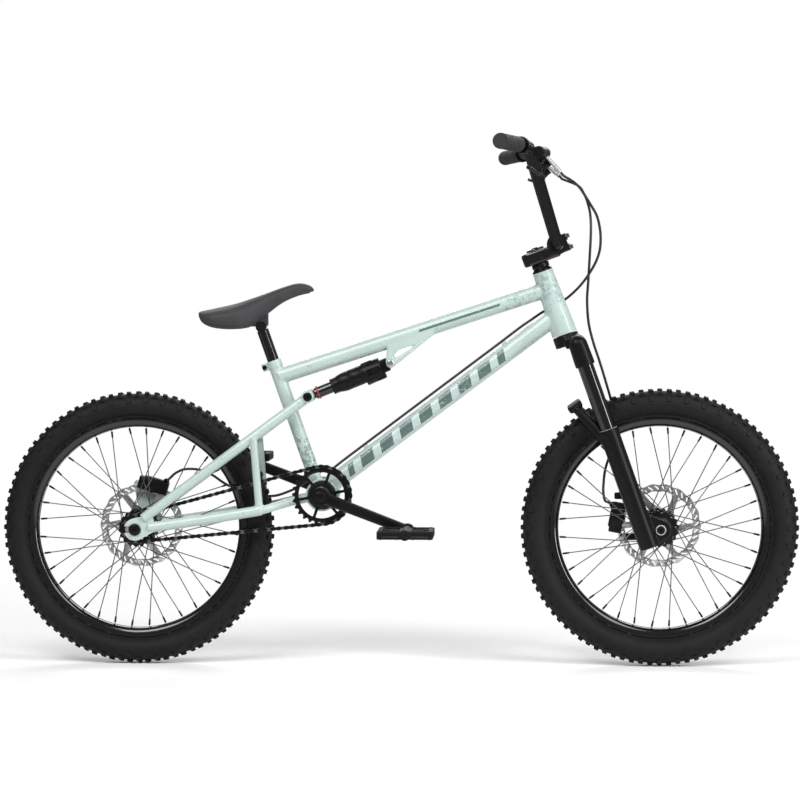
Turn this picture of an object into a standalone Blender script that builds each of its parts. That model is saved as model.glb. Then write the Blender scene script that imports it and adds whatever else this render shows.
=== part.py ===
"""A dirt jump bmx bike with a short swingarm, an air shock and a single-crown suspension fork.

The bike stands on the ground with +X forward, +Y to its left and +Z up. Its origin is on the
ground, midway between the ends of the tyres. Sizes below are millimetres, and the shape
functions turn them into metres. A place is given by its distance ahead of the rear axle and
its height above the ground.
"""

import math

import bmesh
import bpy
from mathutils import Matrix, Vector

MM = 0.001
GAP = 0.3                     # between neighbouring pieces

# Wheels
WHEELBASE = 988.0
REAR_RADIUS = 259.0           # to the tips of the tread
FRONT_RADIUS = 262.5
WHEEL_STEPS = 32
SIDES = 16                    # of round pieces
SMALL_SIDES = 12              # of round pieces under the small diameter
SMALL_DIAMETER = 17.0
BOLT_SIDES = 8                # of bolts and their holes
BOLT_DIAMETER = 10.0
RIM_EDGE = 190.5              # radius of the rim's inner edge
RIM_FLANGE = 209.0
BEAD_SEAT = 203.0
RIM_WIDTH = 32.0
RIM_WALL = 1.8
TYRE_WIDTH = 57.0
TYRE_WALL = 3.4
SPOKES = 36
SPOKE_DIAMETER = 2.0
SPOKE_CIRCLE = 58.0
FLANGE_DIAMETER = 70.0
FLANGE_THICKNESS = 3.5
ROTOR_DIAMETER = 160.0
ROTOR_THICKNESS = 1.8
REAR_HUB_WIDTH = 110.0
REAR_AXLE = 12.0
FRONT_HUB_WIDTH = 100.0
FRONT_AXLE = 15.0

# Drivetrain
RING_TEETH = 27
COG_TEETH = 12
PITCH = 12.7
CHAIN_LINKS = 76
CHAIN_RISE = math.radians(10.43)   # from the rear axle up to the bottom bracket
CHAIN_LINE = 42.0
CHAIN_WIDTH = 9.0
CHAIN_PLATE = 2.0
CHAIN_HEIGHT = 7.6
TOOTH_WIDTH = 2.6
CRANK_LENGTH = 175.0
CRANK_ANGLE = math.radians(-21.0)  # of the right arm, up from straight ahead
SPINDLE = 22.0

# Frame
LEAN = math.radians(19.5)          # of the head tube and the seat tube
SHELL_DIAMETER = 52.0
SHELL_HALF = 26.0
JOURNAL_DIAMETER = 46.0
JOURNAL_HALF = 36.0
SHELL_BORE = 41.3
SEAT_TUBE = 25.4
SEAT_TUBE_LENGTH = 268.0
SEAT_TUBE_BACK = 5.0               # its axis passes this far behind the bottom bracket
SEATPOST = 22.2
SEATPOST_SHOWING = 64.0
SEATPOST_INSIDE = 120.0
TOP_TUBE = 30.6
DOWN_TUBE = 33.3
HEAD_LENGTH = 125.0
HEAD_TOP = 38.5
HEAD_BOTTOM = 48.6
STEERER = 28.6

# Fork
RAKE = 47.6
AXLE_TO_HEAD = 466.0               # along the steering axis, to the middle of the head tube
LEG_OFFSET = 17.0                  # of the legs' axes, ahead of the steering axis
LEG_SPREAD = 62.0                  # from the middle plane to each leg's axis
STANCHION = 30.0
LOWER_LEG = 38.0
FORK_TRAVEL = 80.0

# Swingarm and shock
SWING_ANGLE = math.radians(11.0)
SEATSTAY = 19.0
CHAINSTAY = 20.0
BRACE = 15.0
DROPOUT = 6.0
SHOCK_SHAFT = 22.0
SHOCK_CAN = 39.0
SHOCK_EYE_HALF = 10.0
SHOCK_BOLT = 8.0
LINK_SLACK = 2.2              # round the lower shock bolt, in the swingarm

# Handlebar
BAR = 22.2
BAR_HALF = 365.0
GRIP = 28.6
GRIP_LENGTH = 145.0
HOSE = 5.0

# Places, worked out from the sizes above
ORIGIN_X = (WHEELBASE + FRONT_RADIUS - REAR_RADIUS) / 2
RING_RADIUS = PITCH / 2 / math.sin(math.pi / RING_TEETH)
COG_RADIUS = PITCH / 2 / math.sin(math.pi / COG_TEETH)


def links_round(centre_distance):
    """The number of links that close the loop round the ring and the cog."""
    lift = math.asin((RING_RADIUS - COG_RADIUS) / centre_distance)
    on_ring = RING_TEETH * (math.pi + 2 * lift) / (2 * math.pi)
    on_cog = COG_TEETH * (math.pi - 2 * lift) / (2 * math.pi)
    return on_ring + on_cog + 2 * centre_distance * math.cos(lift) / PITCH


def chain_centre_distance():
    """The centre distance at which the chain's whole links close the loop, by halving."""
    low = RING_RADIUS + COG_RADIUS
    high = CHAIN_LINKS * PITCH / 2
    for _ in range(60):
        middle = (low + high) / 2
        if links_round(middle) < CHAIN_LINKS:
            low = middle
        else:
            high = middle
    return middle


def place(x, z, y=0.0):
    """A point, from its distance ahead of the rear axle and its height above the ground."""
    return Vector((x - ORIGIN_X, y, z))


SIDE = Vector((0.0, 1.0, 0.0))
UP = Vector((-math.sin(LEAN), 0.0, math.cos(LEAN)))
AHEAD = Vector((math.cos(LEAN), 0.0, math.sin(LEAN)))
CENTRE_DISTANCE = chain_centre_distance()
REAR_CENTRE = place(0.0, REAR_RADIUS)
FRONT_CENTRE = place(WHEELBASE, FRONT_RADIUS)
CRANK_CENTRE = REAR_CENTRE + CENTRE_DISTANCE * Vector((math.cos(CHAIN_RISE), 0, math.sin(CHAIN_RISE)))
HEAD_MIDDLE = FRONT_CENTRE - RAKE * AHEAD + AXLE_TO_HEAD * UP
SEAT_TOP = CRANK_CENTRE + Vector((-SEAT_TUBE_BACK, 0, 0)) + SEAT_TUBE_LENGTH * UP


def steer(up, ahead, y=0.0):
    """A point measured along and ahead of the steering axis, from the head tube's middle."""
    return HEAD_MIDDLE + UP * up + AHEAD * ahead + SIDE * y


def seat(up, ahead, y=0.0):
    """A point measured along and ahead of the seat tube's axis, from its top."""
    return SEAT_TOP + UP * up + AHEAD * ahead + SIDE * y


def from_crank(x, z, y=0.0):
    """A point measured ahead of and above the bottom bracket."""
    return CRANK_CENTRE + Vector((x, y, z))


def from_rear(x, z, y=0.0):
    """A point measured ahead of and above the rear axle."""
    return REAR_CENTRE + Vector((x, y, z))


# Scene, collections and materials
for leftover in list(bpy.data.objects):
    bpy.data.objects.remove(leftover, do_unlink=True)

PARTS = bpy.data.collections.new("dirt_jump_bmx_bike")
CUTTERS = bpy.data.collections.new("cutters")
bpy.context.scene.collection.children.link(PARTS)
bpy.context.scene.collection.children.link(CUTTERS)


def finish(name, colour, roughness, metallic=0.0):
    """A Principled material, its colour in linear values."""
    made = bpy.data.materials.new(name)
    made.use_nodes = True
    shader = made.node_tree.nodes["Principled BSDF"]
    shader.inputs["Base Color"].default_value = (*colour, 1.0)
    shader.inputs["Roughness"].default_value = roughness
    shader.inputs["Metallic"].default_value = metallic
    return made


PAINT = finish("pale_green_paint", (0.50, 0.60, 0.57), 0.4)
SATIN = finish("satin_black_metal", (0.012, 0.012, 0.014), 0.4, 0.6)
GLOSS = finish("gloss_black_metal", (0.008, 0.008, 0.009), 0.15, 0.6)
RUBBER = finish("tyre_rubber", (0.018, 0.018, 0.020), 0.8)
SOFT = finish("soft_rubber", (0.03, 0.03, 0.032), 0.7)
STEEL = finish("steel", (0.55, 0.55, 0.56), 0.3, 1.0)
PLASTIC = finish("black_plastic", (0.02, 0.02, 0.022), 0.6)
COVER = finish("saddle_cover", (0.04, 0.04, 0.042), 0.75)
RED = finish("red_rubber", (0.35, 0.03, 0.03), 0.5)


def new_object(name, data, collection):
    """Link a new object to a collection and smooth its round faces."""
    made = bpy.data.objects.new(name, data)
    collection.objects.link(made)
    made.hide_render = collection is CUTTERS
    made.display_type = "WIRE" if made.hide_render else "TEXTURED"
    if made.type == "MESH":
        data.shade_smooth()
        data.set_sharp_from_angle(angle=math.radians(35))
    return made


def from_bmesh(shape, centre, axis=None):
    """A helper object holding a bmesh, its Z turned along the axis."""
    mesh = bpy.data.meshes.new("shape")
    shape.to_mesh(mesh)
    shape.free()
    made = new_object("shape", mesh, CUTTERS)
    made.location = centre * MM
    if axis is not None:
        made.rotation_mode = "QUATERNION"
        made.rotation_quaternion = axis.to_track_quat("Z", "Y")
    return made


def rod(start, end, diameter, end_diameter=None):
    """A closed round bar, or a cone where the two diameters differ."""
    axis = end - start
    end_diameter = diameter if end_diameter is None else end_diameter
    widest = max(diameter, end_diameter)
    sides = BOLT_SIDES if widest < BOLT_DIAMETER else SMALL_SIDES if widest < SMALL_DIAMETER else SIDES
    shape = bmesh.new()
    bmesh.ops.create_cone(
        shape, cap_ends=True, segments=sides, depth=axis.length * MM,
        radius1=diameter / 2 * MM, radius2=end_diameter / 2 * MM,
    )
    return from_bmesh(shape, (start + end) / 2, axis)


def cross_rod(centre, low, high, diameter, end_diameter=None):
    """A round bar along Y between two distances from the middle plane."""
    flat = Vector((centre.x, 0, centre.z))
    return rod(flat + SIDE * low, flat + SIDE * high, diameter, end_diameter)


def block(centre, ahead, side, up, axis=None):
    """A box, upright or with its own up direction in the middle plane."""
    shape = bmesh.new()
    bmesh.ops.create_cube(shape, size=MM)
    bmesh.ops.scale(shape, vec=(ahead, side, up), verts=shape.verts)
    mesh = bpy.data.meshes.new("block")
    shape.to_mesh(mesh)
    shape.free()
    made = new_object("block", mesh, CUTTERS)
    made.location = centre * MM
    if axis is not None:
        made.rotation_euler = (0, math.atan2(axis.x, axis.z), 0)
    return made


def turned(outer, bore, centre, axis=SIDE, sides=SIDES):
    """A Screw round the axis of (diameter, height) points, the outer side listed top to bottom.

    The bore is listed bottom to top, and is empty on a solid piece.
    """
    profile = list(outer) + list(bore)
    mesh = bpy.data.meshes.new("turned")
    links = [(i, i + 1) for i in range(len(profile) - 1)]
    if bore:
        links.append((len(profile) - 1, 0))
    mesh.from_pydata([(d / 2 * MM, 0, h * MM) for d, h in profile], links, [])
    made = new_object("turned", mesh, CUTTERS)
    screw = made.modifiers.new("turn", "SCREW")
    screw.steps = screw.render_steps = sides
    screw.use_merge_vertices = True
    screw.merge_threshold = 0.00001
    screw.use_smooth_shade = True
    made.location = centre * MM
    made.rotation_mode = "QUATERNION"
    made.rotation_quaternion = axis.to_track_quat("Z", "Y")
    return made


def bent(points, bend, steps=4):
    """The points with each inner corner rounded to the bend radius."""
    path = [points[0]]
    for before, corner, after in zip(points, points[1:], points[2:]):
        back = (before - corner).normalized()
        on = (after - corner).normalized()
        half = back.angle(on) / 2
        reach = min(bend / math.tan(half), (before - corner).length * 0.48, (after - corner).length * 0.48)
        start = corner + back * reach
        end = corner + on * reach
        for step in range(steps + 1):
            t = step / steps
            path.append(start * (1 - t) ** 2 + corner * 2 * t * (1 - t) + end * t ** 2)
    path.append(points[-1])
    return path


def as_mesh(curve_object, name):
    """The closed mesh of a curve object, which is removed."""
    bpy.context.view_layer.update()
    graph = bpy.context.evaluated_depsgraph_get()
    mesh = bpy.data.meshes.new_from_object(curve_object.evaluated_get(graph))
    shape = bmesh.new()
    shape.from_mesh(mesh)
    bmesh.ops.remove_doubles(shape, verts=shape.verts, dist=0.000001)
    shape.to_mesh(mesh)
    shape.free()
    made = new_object(name, mesh, CUTTERS)
    made.matrix_world = curve_object.matrix_world.copy()
    curve = curve_object.data
    bpy.data.objects.remove(curve_object, do_unlink=True)
    bpy.data.curves.remove(curve)
    return made


def wire(points, diameter, resolution=2, closed=False):
    """A curve object of round section through the points, with filled ends."""
    curve = bpy.data.curves.new("wire", "CURVE")
    curve.dimensions = "3D"
    curve.bevel_depth = diameter / 2 * MM
    curve.bevel_resolution = resolution
    curve.use_fill_caps = not closed
    spline = curve.splines.new("POLY")
    spline.points.add(len(points) - 1)
    for target, source in zip(spline.points, points):
        target.co = (*(source * MM), 1.0)
    spline.use_cyclic_u = closed
    return new_object("wire", curve, CUTTERS)


def tube(points, diameter, resolution=4, bend=0.0, steps=4):
    """A bent tube as a closed mesh."""
    path = bent(points, bend, steps) if bend else points
    return as_mesh(wire(path, diameter, resolution), "tube")


def sheet(outlines, low, high):
    """A plate parallel to the middle plane between two distances from it.

    The first outline is its edge and the others are its windows, all lists of points.
    """
    curve = bpy.data.curves.new("sheet", "CURVE")
    curve.dimensions = "2D"
    curve.fill_mode = "BOTH"
    curve.extrude = (high - low) / 2 * MM
    centre = outlines[0][0]
    for outline in outlines:
        spline = curve.splines.new("POLY")
        spline.points.add(len(outline) - 1)
        for target, source in zip(spline.points, outline):
            target.co = ((source.x - centre.x) * MM, (source.z - centre.z) * MM, 0, 1)
        spline.use_cyclic_u = True
    made = new_object("sheet", curve, CUTTERS)
    made.location = Vector((centre.x, (low + high) / 2, centre.z)) * MM
    made.rotation_euler = (math.pi / 2, 0, 0)
    return as_mesh(made, "sheet")


def circle(centre, diameter, count, phase=0.0):
    """Points round a circle in the side plane."""
    turn = 2 * math.pi / count
    return [
        centre + diameter / 2 * Vector((math.cos(phase + turn * i), 0, math.sin(phase + turn * i)))
        for i in range(count)
    ]


def hull_of_circles(circles, steps=6):
    """The outline round circles given as (centre, diameter), each drawn as an arc of points."""
    points = []
    for centre, diameter in circles:
        points += circle(centre, diameter, steps * 4)
    points.sort(key=lambda p: (p.x, p.z))
    outline = []
    for sweep in (points, points[::-1]):
        chain = []
        for point in sweep:
            while len(chain) > 1 and (chain[-1] - chain[-2]).cross(point - chain[-1]).y >= -1e-6:
                chain.pop()
            chain.append(point)
        outline += chain[:-1]
    return outline


def change(base, operation, *tools):
    """Join the tools to the base, or cut them from it, with one live Boolean."""
    group = bpy.data.collections.new("tools")
    CUTTERS.children.link(group)
    for tool in tools:
        group.objects.link(tool)
    boolean = base.modifiers.new(operation.lower(), "BOOLEAN")
    boolean.operation = operation
    boolean.operand_type = "COLLECTION"
    boolean.collection = group
    return base


def add(base, *tools):
    """Join the tools to the base."""
    return change(base, "UNION", *tools)


def cut(base, *tools):
    """Cut the tools from the base."""
    return change(base, "DIFFERENCE", *tools)


PIVOTS = {}


def pivot(name, location, parent=None):
    """An empty on a joint's axis, which the pieces of one body hang from."""
    made = bpy.data.objects.new(name + "_pivot", None)
    made.empty_display_size = 0.02
    PARTS.objects.link(made)
    made.location = location * MM
    if parent:
        made.parent = PIVOTS[parent][0]
        made.location = (location - PIVOTS[parent][1]) * MM
    PIVOTS[name] = (made, location)


def part(name, shape, material, body):
    """Name a shape, give it its material and hang it from its body's pivot."""
    shape.name = name
    shape.data.name = name
    shape.data.materials.clear()
    shape.data.materials.append(material)
    for holder in list(shape.users_collection):
        holder.objects.unlink(shape)
    PARTS.objects.link(shape)
    shape.hide_render = False
    shape.display_type = "TEXTURED"
    shape.parent, location = PIVOTS[body]
    shape.matrix_parent_inverse = Matrix.Translation(location * MM).inverted()
    return shape


# Bodies, each on its joint's axis
SHOCK_FOOT = place(325.0, 509.0)
SHOCK_HEAD = place(480.0, 572.0)
SHOCK_AXIS = (SHOCK_HEAD - SHOCK_FOOT).normalized()
SHOCK_LENGTH = (SHOCK_HEAD - SHOCK_FOOT).length
CRANK_TIP = CRANK_LENGTH * Vector((math.cos(CRANK_ANGLE), 0, math.sin(CRANK_ANGLE)))
PEDAL_SIDE = 142.0            # from the middle plane to each pedal's centre

pivot("frame", Vector((0, 0, 0)))
pivot("seatpost", SEAT_TOP, "frame")
pivot("steering", HEAD_MIDDLE, "frame")
pivot("fork_lowers", FRONT_CENTRE, "steering")
pivot("front_wheel", FRONT_CENTRE, "fork_lowers")
pivot("swingarm", CRANK_CENTRE, "frame")
pivot("rear_wheel", REAR_CENTRE, "swingarm")
pivot("cog", REAR_CENTRE, "swingarm")
pivot("crank", CRANK_CENTRE, "frame")
pivot("pedal_right", CRANK_CENTRE + CRANK_TIP - SIDE * PEDAL_SIDE, "crank")
pivot("pedal_left", CRANK_CENTRE - CRANK_TIP + SIDE * PEDAL_SIDE, "crank")
pivot("shock_body", SHOCK_HEAD, "frame")
pivot("shock_shaft", SHOCK_FOOT, "shock_body")


# Wheels
def mirrored(half):
    """A profile of (diameter, height) for one side, followed by its mirror image."""
    return half + [(d, -h) for d, h in reversed(half)]


def make_rim(name, centre, body):
    half = RIM_WIDTH / 2
    inner = [(RIM_EDGE * 2 + 16, -half), (RIM_EDGE * 2, -half + 7), (RIM_EDGE * 2, half - 7),
             (RIM_EDGE * 2 + 16, half)]
    seat_side = half - RIM_WALL
    profile = [(RIM_FLANGE * 2, half), (RIM_FLANGE * 2, seat_side), (BEAD_SEAT * 2, seat_side),
               (BEAD_SEAT * 2, -seat_side), (RIM_FLANGE * 2, -seat_side), (RIM_FLANGE * 2, -half)]
    return part(name, turned(profile, inner, centre, sides=WHEEL_STEPS), GLOSS, body)


def make_tyre(name, centre, radius, body):
    bead = RIM_WIDTH / 2 - RIM_WALL - GAP
    wide = TYRE_WIDTH / 2
    high = (radius + BEAD_SEAT) / 2
    outer = mirrored([((BEAD_SEAT + GAP) * 2, bead), ((RIM_FLANGE + 1.5) * 2, bead),
                      (high * 2 - 8, wide), (radius * 2 - 22, wide - 2), (radius * 2, wide / 2)])
    inner_wide = wide - TYRE_WALL
    inner = mirrored([((BEAD_SEAT + GAP) * 2, bead - TYRE_WALL), ((RIM_FLANGE + 2.5) * 2, bead - TYRE_WALL),
                      (high * 2 - 6, inner_wide), (radius * 2 - 2.5 * TYRE_WALL, wide / 2 - 2)])
    return part(name, turned(outer, inner[::-1], centre, sides=WHEEL_STEPS), RUBBER, body)


def spokes(centre, right_flange, left_flange):
    """All the spokes as one mesh: on each flange nine pairs lean forwards and backwards."""
    shape = bmesh.new()
    per_side = SPOKES // 2
    turn = 2 * math.pi / per_side
    reach = math.radians(60)
    rim_radius = RIM_EDGE * math.cos(math.pi / WHEEL_STEPS) - GAP
    lift = FLANGE_THICKNESS / 2 + SPOKE_DIAMETER / 2 - 0.35
    for side, flange in ((-1, right_flange), (1, left_flange)):
        start = math.pi / WHEEL_STEPS + (turn / 2 if side > 0 else 0)
        for index in range(per_side):
            lean = 1 if index % 2 else -1
            hub_angle = start + turn * index
            rim_angle = hub_angle + lean * reach
            near = Vector((math.cos(hub_angle), 0, math.sin(hub_angle))) * SPOKE_CIRCLE / 2
            far = Vector((math.cos(rim_angle), 0, math.sin(rim_angle))) * rim_radius
            near.y = flange + lean * lift
            far.y = side * 3.0
            direction = far - near
            matrix = Matrix.Translation((near + direction / 2) * MM)
            matrix = matrix @ direction.to_track_quat("Z", "Y").to_matrix().to_4x4()
            bmesh.ops.create_cone(
                shape, cap_ends=True, segments=3, depth=direction.length * MM, matrix=matrix,
                radius1=SPOKE_DIAMETER / 2 * MM, radius2=SPOKE_DIAMETER / 2 * MM,
            )
    return from_bmesh(shape, centre)


def make_hub(name, centre, body, width, axle, cog_side, disc_side, right_flange, left_flange):
    """Hub shell and spokes. The cog side and disc side are the turned ends beyond the flanges."""
    half = FLANGE_THICKNESS / 2
    left = [(FLANGE_DIAMETER, left_flange + half), (FLANGE_DIAMETER, left_flange - half)]
    right = [(FLANGE_DIAMETER, right_flange + half), (FLANGE_DIAMETER, right_flange - half)]
    middle = [(37, left_flange - half - 2), (37, right_flange + half + 2)]
    bore = [(axle + 2 * GAP + 0.4, -width / 2 + GAP), (axle + 2 * GAP + 0.4, width / 2 - GAP)]
    shell = turned(disc_side + left + middle + right + cog_side, bore, centre, sides=SMALL_SIDES)
    return part(name, add(shell, spokes(centre, right_flange, left_flange)), SATIN, body)


def make_rotor(name, centre, side, body, bore):
    ring = ROTOR_DIAMETER / 2
    windows = []
    for index in range(6):
        start = math.radians(60 * index + 7)
        end = math.radians(60 * index + 53)
        rims = []
        for step in range(4):
            angle = start + (end - start) * step / 3
            rims.append(centre + (ring - 15) * Vector((math.cos(angle), 0, math.sin(angle))))
        for angle in (end - 0.05, start + 0.05):
            rims.append(centre + 30.0 * Vector((math.cos(angle), 0, math.sin(angle))))
        windows.append(rims)
    outline = circle(centre, ROTOR_DIAMETER, 24)
    hole = circle(centre, bore, 16)
    plate = sheet([outline, *windows, hole], side - ROTOR_THICKNESS / 2, side + ROTOR_THICKNESS / 2)
    return part(name, plate, STEEL, body)


REAR_ROTOR_SIDE = 39.7
FRONT_ROTOR_SIDE = 34.7
ROTOR_BORE = 35.0
DRIVER = 25.0                 # the hub's core that the cog turns on
half_rear = REAR_HUB_WIDTH / 2 - GAP
half_front = FRONT_HUB_WIDTH / 2 - GAP
rotor_half = ROTOR_THICKNESS / 2


def disc_end(half_width, rotor_side, cap):
    """The turned profile from the hub's left end to its disc seat, top to bottom."""
    spigot = ROTOR_BORE - 4 * GAP
    return [(cap, half_width), (cap, rotor_side + rotor_half + 1), (spigot, rotor_side + rotor_half + 1),
            (spigot, rotor_side - rotor_half - GAP), (52, rotor_side - rotor_half - GAP),
            (52, rotor_side - rotor_half - 6)]


make_rim("rear_rim", REAR_CENTRE, "rear_wheel")
make_tyre("rear_tyre", REAR_CENTRE, REAR_RADIUS, "rear_wheel")
make_hub("rear_laced_hub", REAR_CENTRE, "rear_wheel", REAR_HUB_WIDTH, REAR_AXLE,
         [(40, -32), (40, -34), (DRIVER, -34), (DRIVER, -half_rear)],
         disc_end(half_rear, REAR_ROTOR_SIDE, 22), -28, 28)
make_rotor("rear_rotor", REAR_CENTRE, REAR_ROTOR_SIDE, "rear_wheel", ROTOR_BORE)
make_rim("front_rim", FRONT_CENTRE, "front_wheel")
make_tyre("front_tyre", FRONT_CENTRE, FRONT_RADIUS, "front_wheel")
make_hub("front_laced_hub", FRONT_CENTRE, "front_wheel", FRONT_HUB_WIDTH, FRONT_AXLE,
         [(40, -31), (30, -34), (26, -half_front)],
         disc_end(half_front, FRONT_ROTOR_SIDE, 26), -28, 22)
make_rotor("front_rotor", FRONT_CENTRE, FRONT_ROTOR_SIDE, "front_wheel", ROTOR_BORE)


# Frame
TOP_TUBE_REAR = seat(-31.8, 0)
TOP_TUBE_FRONT = steer(28.0, 0)
TOP_TUBE_AXIS = (TOP_TUBE_FRONT - TOP_TUBE_REAR).normalized()
DOWN_TUBE_REAR = from_crank(0, 6.2)
DOWN_TUBE_FRONT = steer(-23.4, 0)
DOWN_TUBE_AXIS = (DOWN_TUBE_FRONT - DOWN_TUBE_REAR).normalized()
DOWN_TUBE_UP = Vector((-DOWN_TUBE_AXIS.z, 0, DOWN_TUBE_AXIS.x))
BOLT_UP = -7.2                # of the seat clamp bolt, from the seat tube's top
BOLT_BACK = 19.6
PLATE_IN = SHOCK_EYE_HALF + GAP
PLATE_OUT = PLATE_IN + 4.0
UPPER_SEAT = 7.0
LOWER_SEAT = 8.0
BEARING_WALL_TOP = 35.0
BEARING_WALL_LOW = 43.0
CROWN_RACE = STEERER + 1.6
GUIDE_LIFT = 18.0             # of the hose guides' middles, above the down tube's axis
GUIDE_HIGH = 4.4


def on_tube(start, axis, x, lift=0.0, y=0.0):
    """A point beside a tube of the middle plane, from its place ahead of the rear axle."""
    along = start + axis * ((x - ORIGIN_X - start.x) / axis.x)
    return along + Vector((-axis.z, 0, axis.x)) * lift + SIDE * y


def shock_bracket(low, high):
    """One side of the bracket that hangs under the top tube, with a window between its arms."""
    def along(x, lift):
        return on_tube(TOP_TUBE_REAR, TOP_TUBE_AXIS, x, lift)
    eye = SHOCK_HEAD
    edge = [along(474, -2), eye + Vector((-9, 0, 3)), eye + Vector((-8, 0, -5)), eye + Vector((0, 0, -9.5)),
            eye + Vector((7, 0, -6)), along(556, -15), along(562, -2)]
    window = [along(485, -21), eye + Vector((2, 0, 12)), eye + Vector((10, 0, 9)), along(530, -21)]
    return sheet([edge, window], low, high)


def hose_guide(x):
    """A block on the down tube, under the brake hose."""
    return block(on_tube(DOWN_TUBE_REAR, DOWN_TUBE_AXIS, x, GUIDE_LIFT), 10, 7, GUIDE_HIGH, DOWN_TUBE_UP)


frame_shape = rod(seat(-SEAT_TUBE_LENGTH, 0), seat(0, 0), SEAT_TUBE)
add(frame_shape,
    cross_rod(CRANK_CENTRE, -SHELL_HALF, SHELL_HALF, SHELL_DIAMETER),
    cross_rod(CRANK_CENTRE, -JOURNAL_HALF, JOURNAL_HALF, JOURNAL_DIAMETER),
    rod(seat(-14, 0), seat(0, 0), SEAT_TUBE + 3),
    block(seat(-7, -18), 15, 15, 12, UP),
    rod(TOP_TUBE_REAR, TOP_TUBE_FRONT, TOP_TUBE),
    rod(DOWN_TUBE_REAR, DOWN_TUBE_FRONT, DOWN_TUBE),
    rod(steer(-HEAD_LENGTH / 2, 0), steer(HEAD_LENGTH / 2, 0), HEAD_BOTTOM, HEAD_TOP),
    shock_bracket(-PLATE_OUT, -PLATE_IN),
    shock_bracket(PLATE_IN, PLATE_OUT),
    hose_guide(444),
    hose_guide(705))
cut(frame_shape,
    cross_rod(CRANK_CENTRE, -50, 50, SHELL_BORE),
    rod(seat(-SEATPOST_INSIDE - 40, 0), seat(9, 0), SEATPOST + 2 * GAP),
    block(seat(-9, -20), 22, 2.6, 20, UP),
    cross_rod(seat(BOLT_UP, -BOLT_BACK), -20, 20, 5.6),
    rod(steer(-HEAD_LENGTH, 0), steer(HEAD_LENGTH, 0), STEERER + 3.4),
    rod(steer(HEAD_LENGTH / 2 - UPPER_SEAT, 0), steer(HEAD_LENGTH, 0), BEARING_WALL_TOP),
    rod(steer(LOWER_SEAT - HEAD_LENGTH / 2, 0), steer(-HEAD_LENGTH, 0), BEARING_WALL_LOW),
    cross_rod(SHOCK_HEAD, -30, 30, SHOCK_BOLT + 2 * GAP))
part("main_frame", frame_shape, PAINT, "frame")


def pin(name, centre, low, high, diameter, head, head_height, material, body, nut=True):
    """A cross bolt between two faces, with a head on the right and a nut on the left."""
    shape = cross_rod(centre, low - head_height, high + (head_height if nut else 0), diameter)
    add(shape, cross_rod(centre, low - head_height, low, head))
    if nut:
        add(shape, cross_rod(centre, high, high + head_height, head))
    return part(name, shape, material, body)


def ring(name, centre, axis, low, high, outer, inner, material, body, sides=SIDES):
    """A plain ring about an axis, between two distances from its centre."""
    shape = turned([(outer, high), (outer, low)], [(inner, low), (inner, high)], centre, axis, sides)
    return part(name, shape, material, body)


pin("seat_clamp_bolt", seat(BOLT_UP, -BOLT_BACK), -7.5 - GAP, 7.5 + GAP, 5, 9.6, 3.5, SATIN, "frame")
pin("shock_bolt_upper", SHOCK_HEAD, -PLATE_OUT - GAP, PLATE_OUT + GAP, SHOCK_BOLT, 14, 2.5, STEEL, "frame")
upper_face = HEAD_LENGTH / 2
ring("headset_upper_bearing", HEAD_MIDDLE, UP, upper_face - UPPER_SEAT + GAP, upper_face - 0.2,
     BEARING_WALL_TOP - 2 * GAP, STEERER + 2 * GAP, STEEL, "frame")
ring("headset_lower_bearing", HEAD_MIDDLE, UP, 0.2 - upper_face, LOWER_SEAT - upper_face - GAP,
     BEARING_WALL_LOW - 2 * GAP, CROWN_RACE + 2 * GAP, STEEL, "frame")
SPINDLE_BORE = SPINDLE + 2 * GAP
for name, side in (("bb_bearing_right", -1), ("bb_bearing_left", 1)):
    ends = sorted((side * (JOURNAL_HALF - 9), side * (JOURNAL_HALF - 0.5)))
    ring(name, CRANK_CENTRE, SIDE, ends[0], ends[1], SHELL_BORE - 2 * GAP, SPINDLE_BORE, STEEL, "frame")
ring("bb_sleeve", CRANK_CENTRE, SIDE, GAP + 9 - JOURNAL_HALF, JOURNAL_HALF - 9 - GAP,
     SPINDLE_BORE + 4, SPINDLE_BORE, SATIN, "frame")

# Seatpost and saddle
HEAD_UP = 68.0                # of the seatpost's head, above the seat tube
HEAD_DIAMETER = 20.0
SADDLE_BOLT = 6.0
saddle_pivot = seat(HEAD_UP, 0)
post = rod(seat(-SEATPOST_INSIDE, 0), seat(SEATPOST_SHOWING - 3, 0), SEATPOST)
add(post,
    rod(seat(SEATPOST_SHOWING - 5, 0), saddle_pivot, 16),
    cross_rod(saddle_pivot, -13, 13, HEAD_DIAMETER))
cut(post, rod(seat(HEAD_UP - 9, 0), seat(HEAD_UP + 20, 0), SADDLE_BOLT + 2 * GAP))
part("seatpost", post, GLOSS, "seatpost")

# Along the saddle: distance ahead of the rear axle, height of its top, height of its lower edge,
# and half of its width
SADDLE = [
    (118, 669, 660, 34), (128, 671.5, 646, 55), (150, 676, 638, 69), (185, 684, 636, 67),
    (215, 693.5, 641, 51), (245, 704, 664, 33), (275, 715, 686, 25), (305, 723, 699, 20),
    (326, 719, 704, 14), (334, 712, 707, 6),
]
SHELL_THICK = 4.7


def loft(sections, name):
    """A closed skin over sections that each have the same number of points."""
    shape = bmesh.new()
    rings = [[shape.verts.new(point * MM) for point in section] for section in sections]
    count = len(rings[0])
    for near, far in zip(rings, rings[1:]):
        for i in range(count):
            j = (i + 1) % count
            shape.faces.new((near[i], near[j], far[j], far[i]))
    shape.faces.new(rings[0][::-1])
    shape.faces.new(rings[-1])
    bmesh.ops.recalc_face_normals(shape, faces=shape.faces)
    return from_bmesh(shape, Vector((0, 0, 0)))


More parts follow.
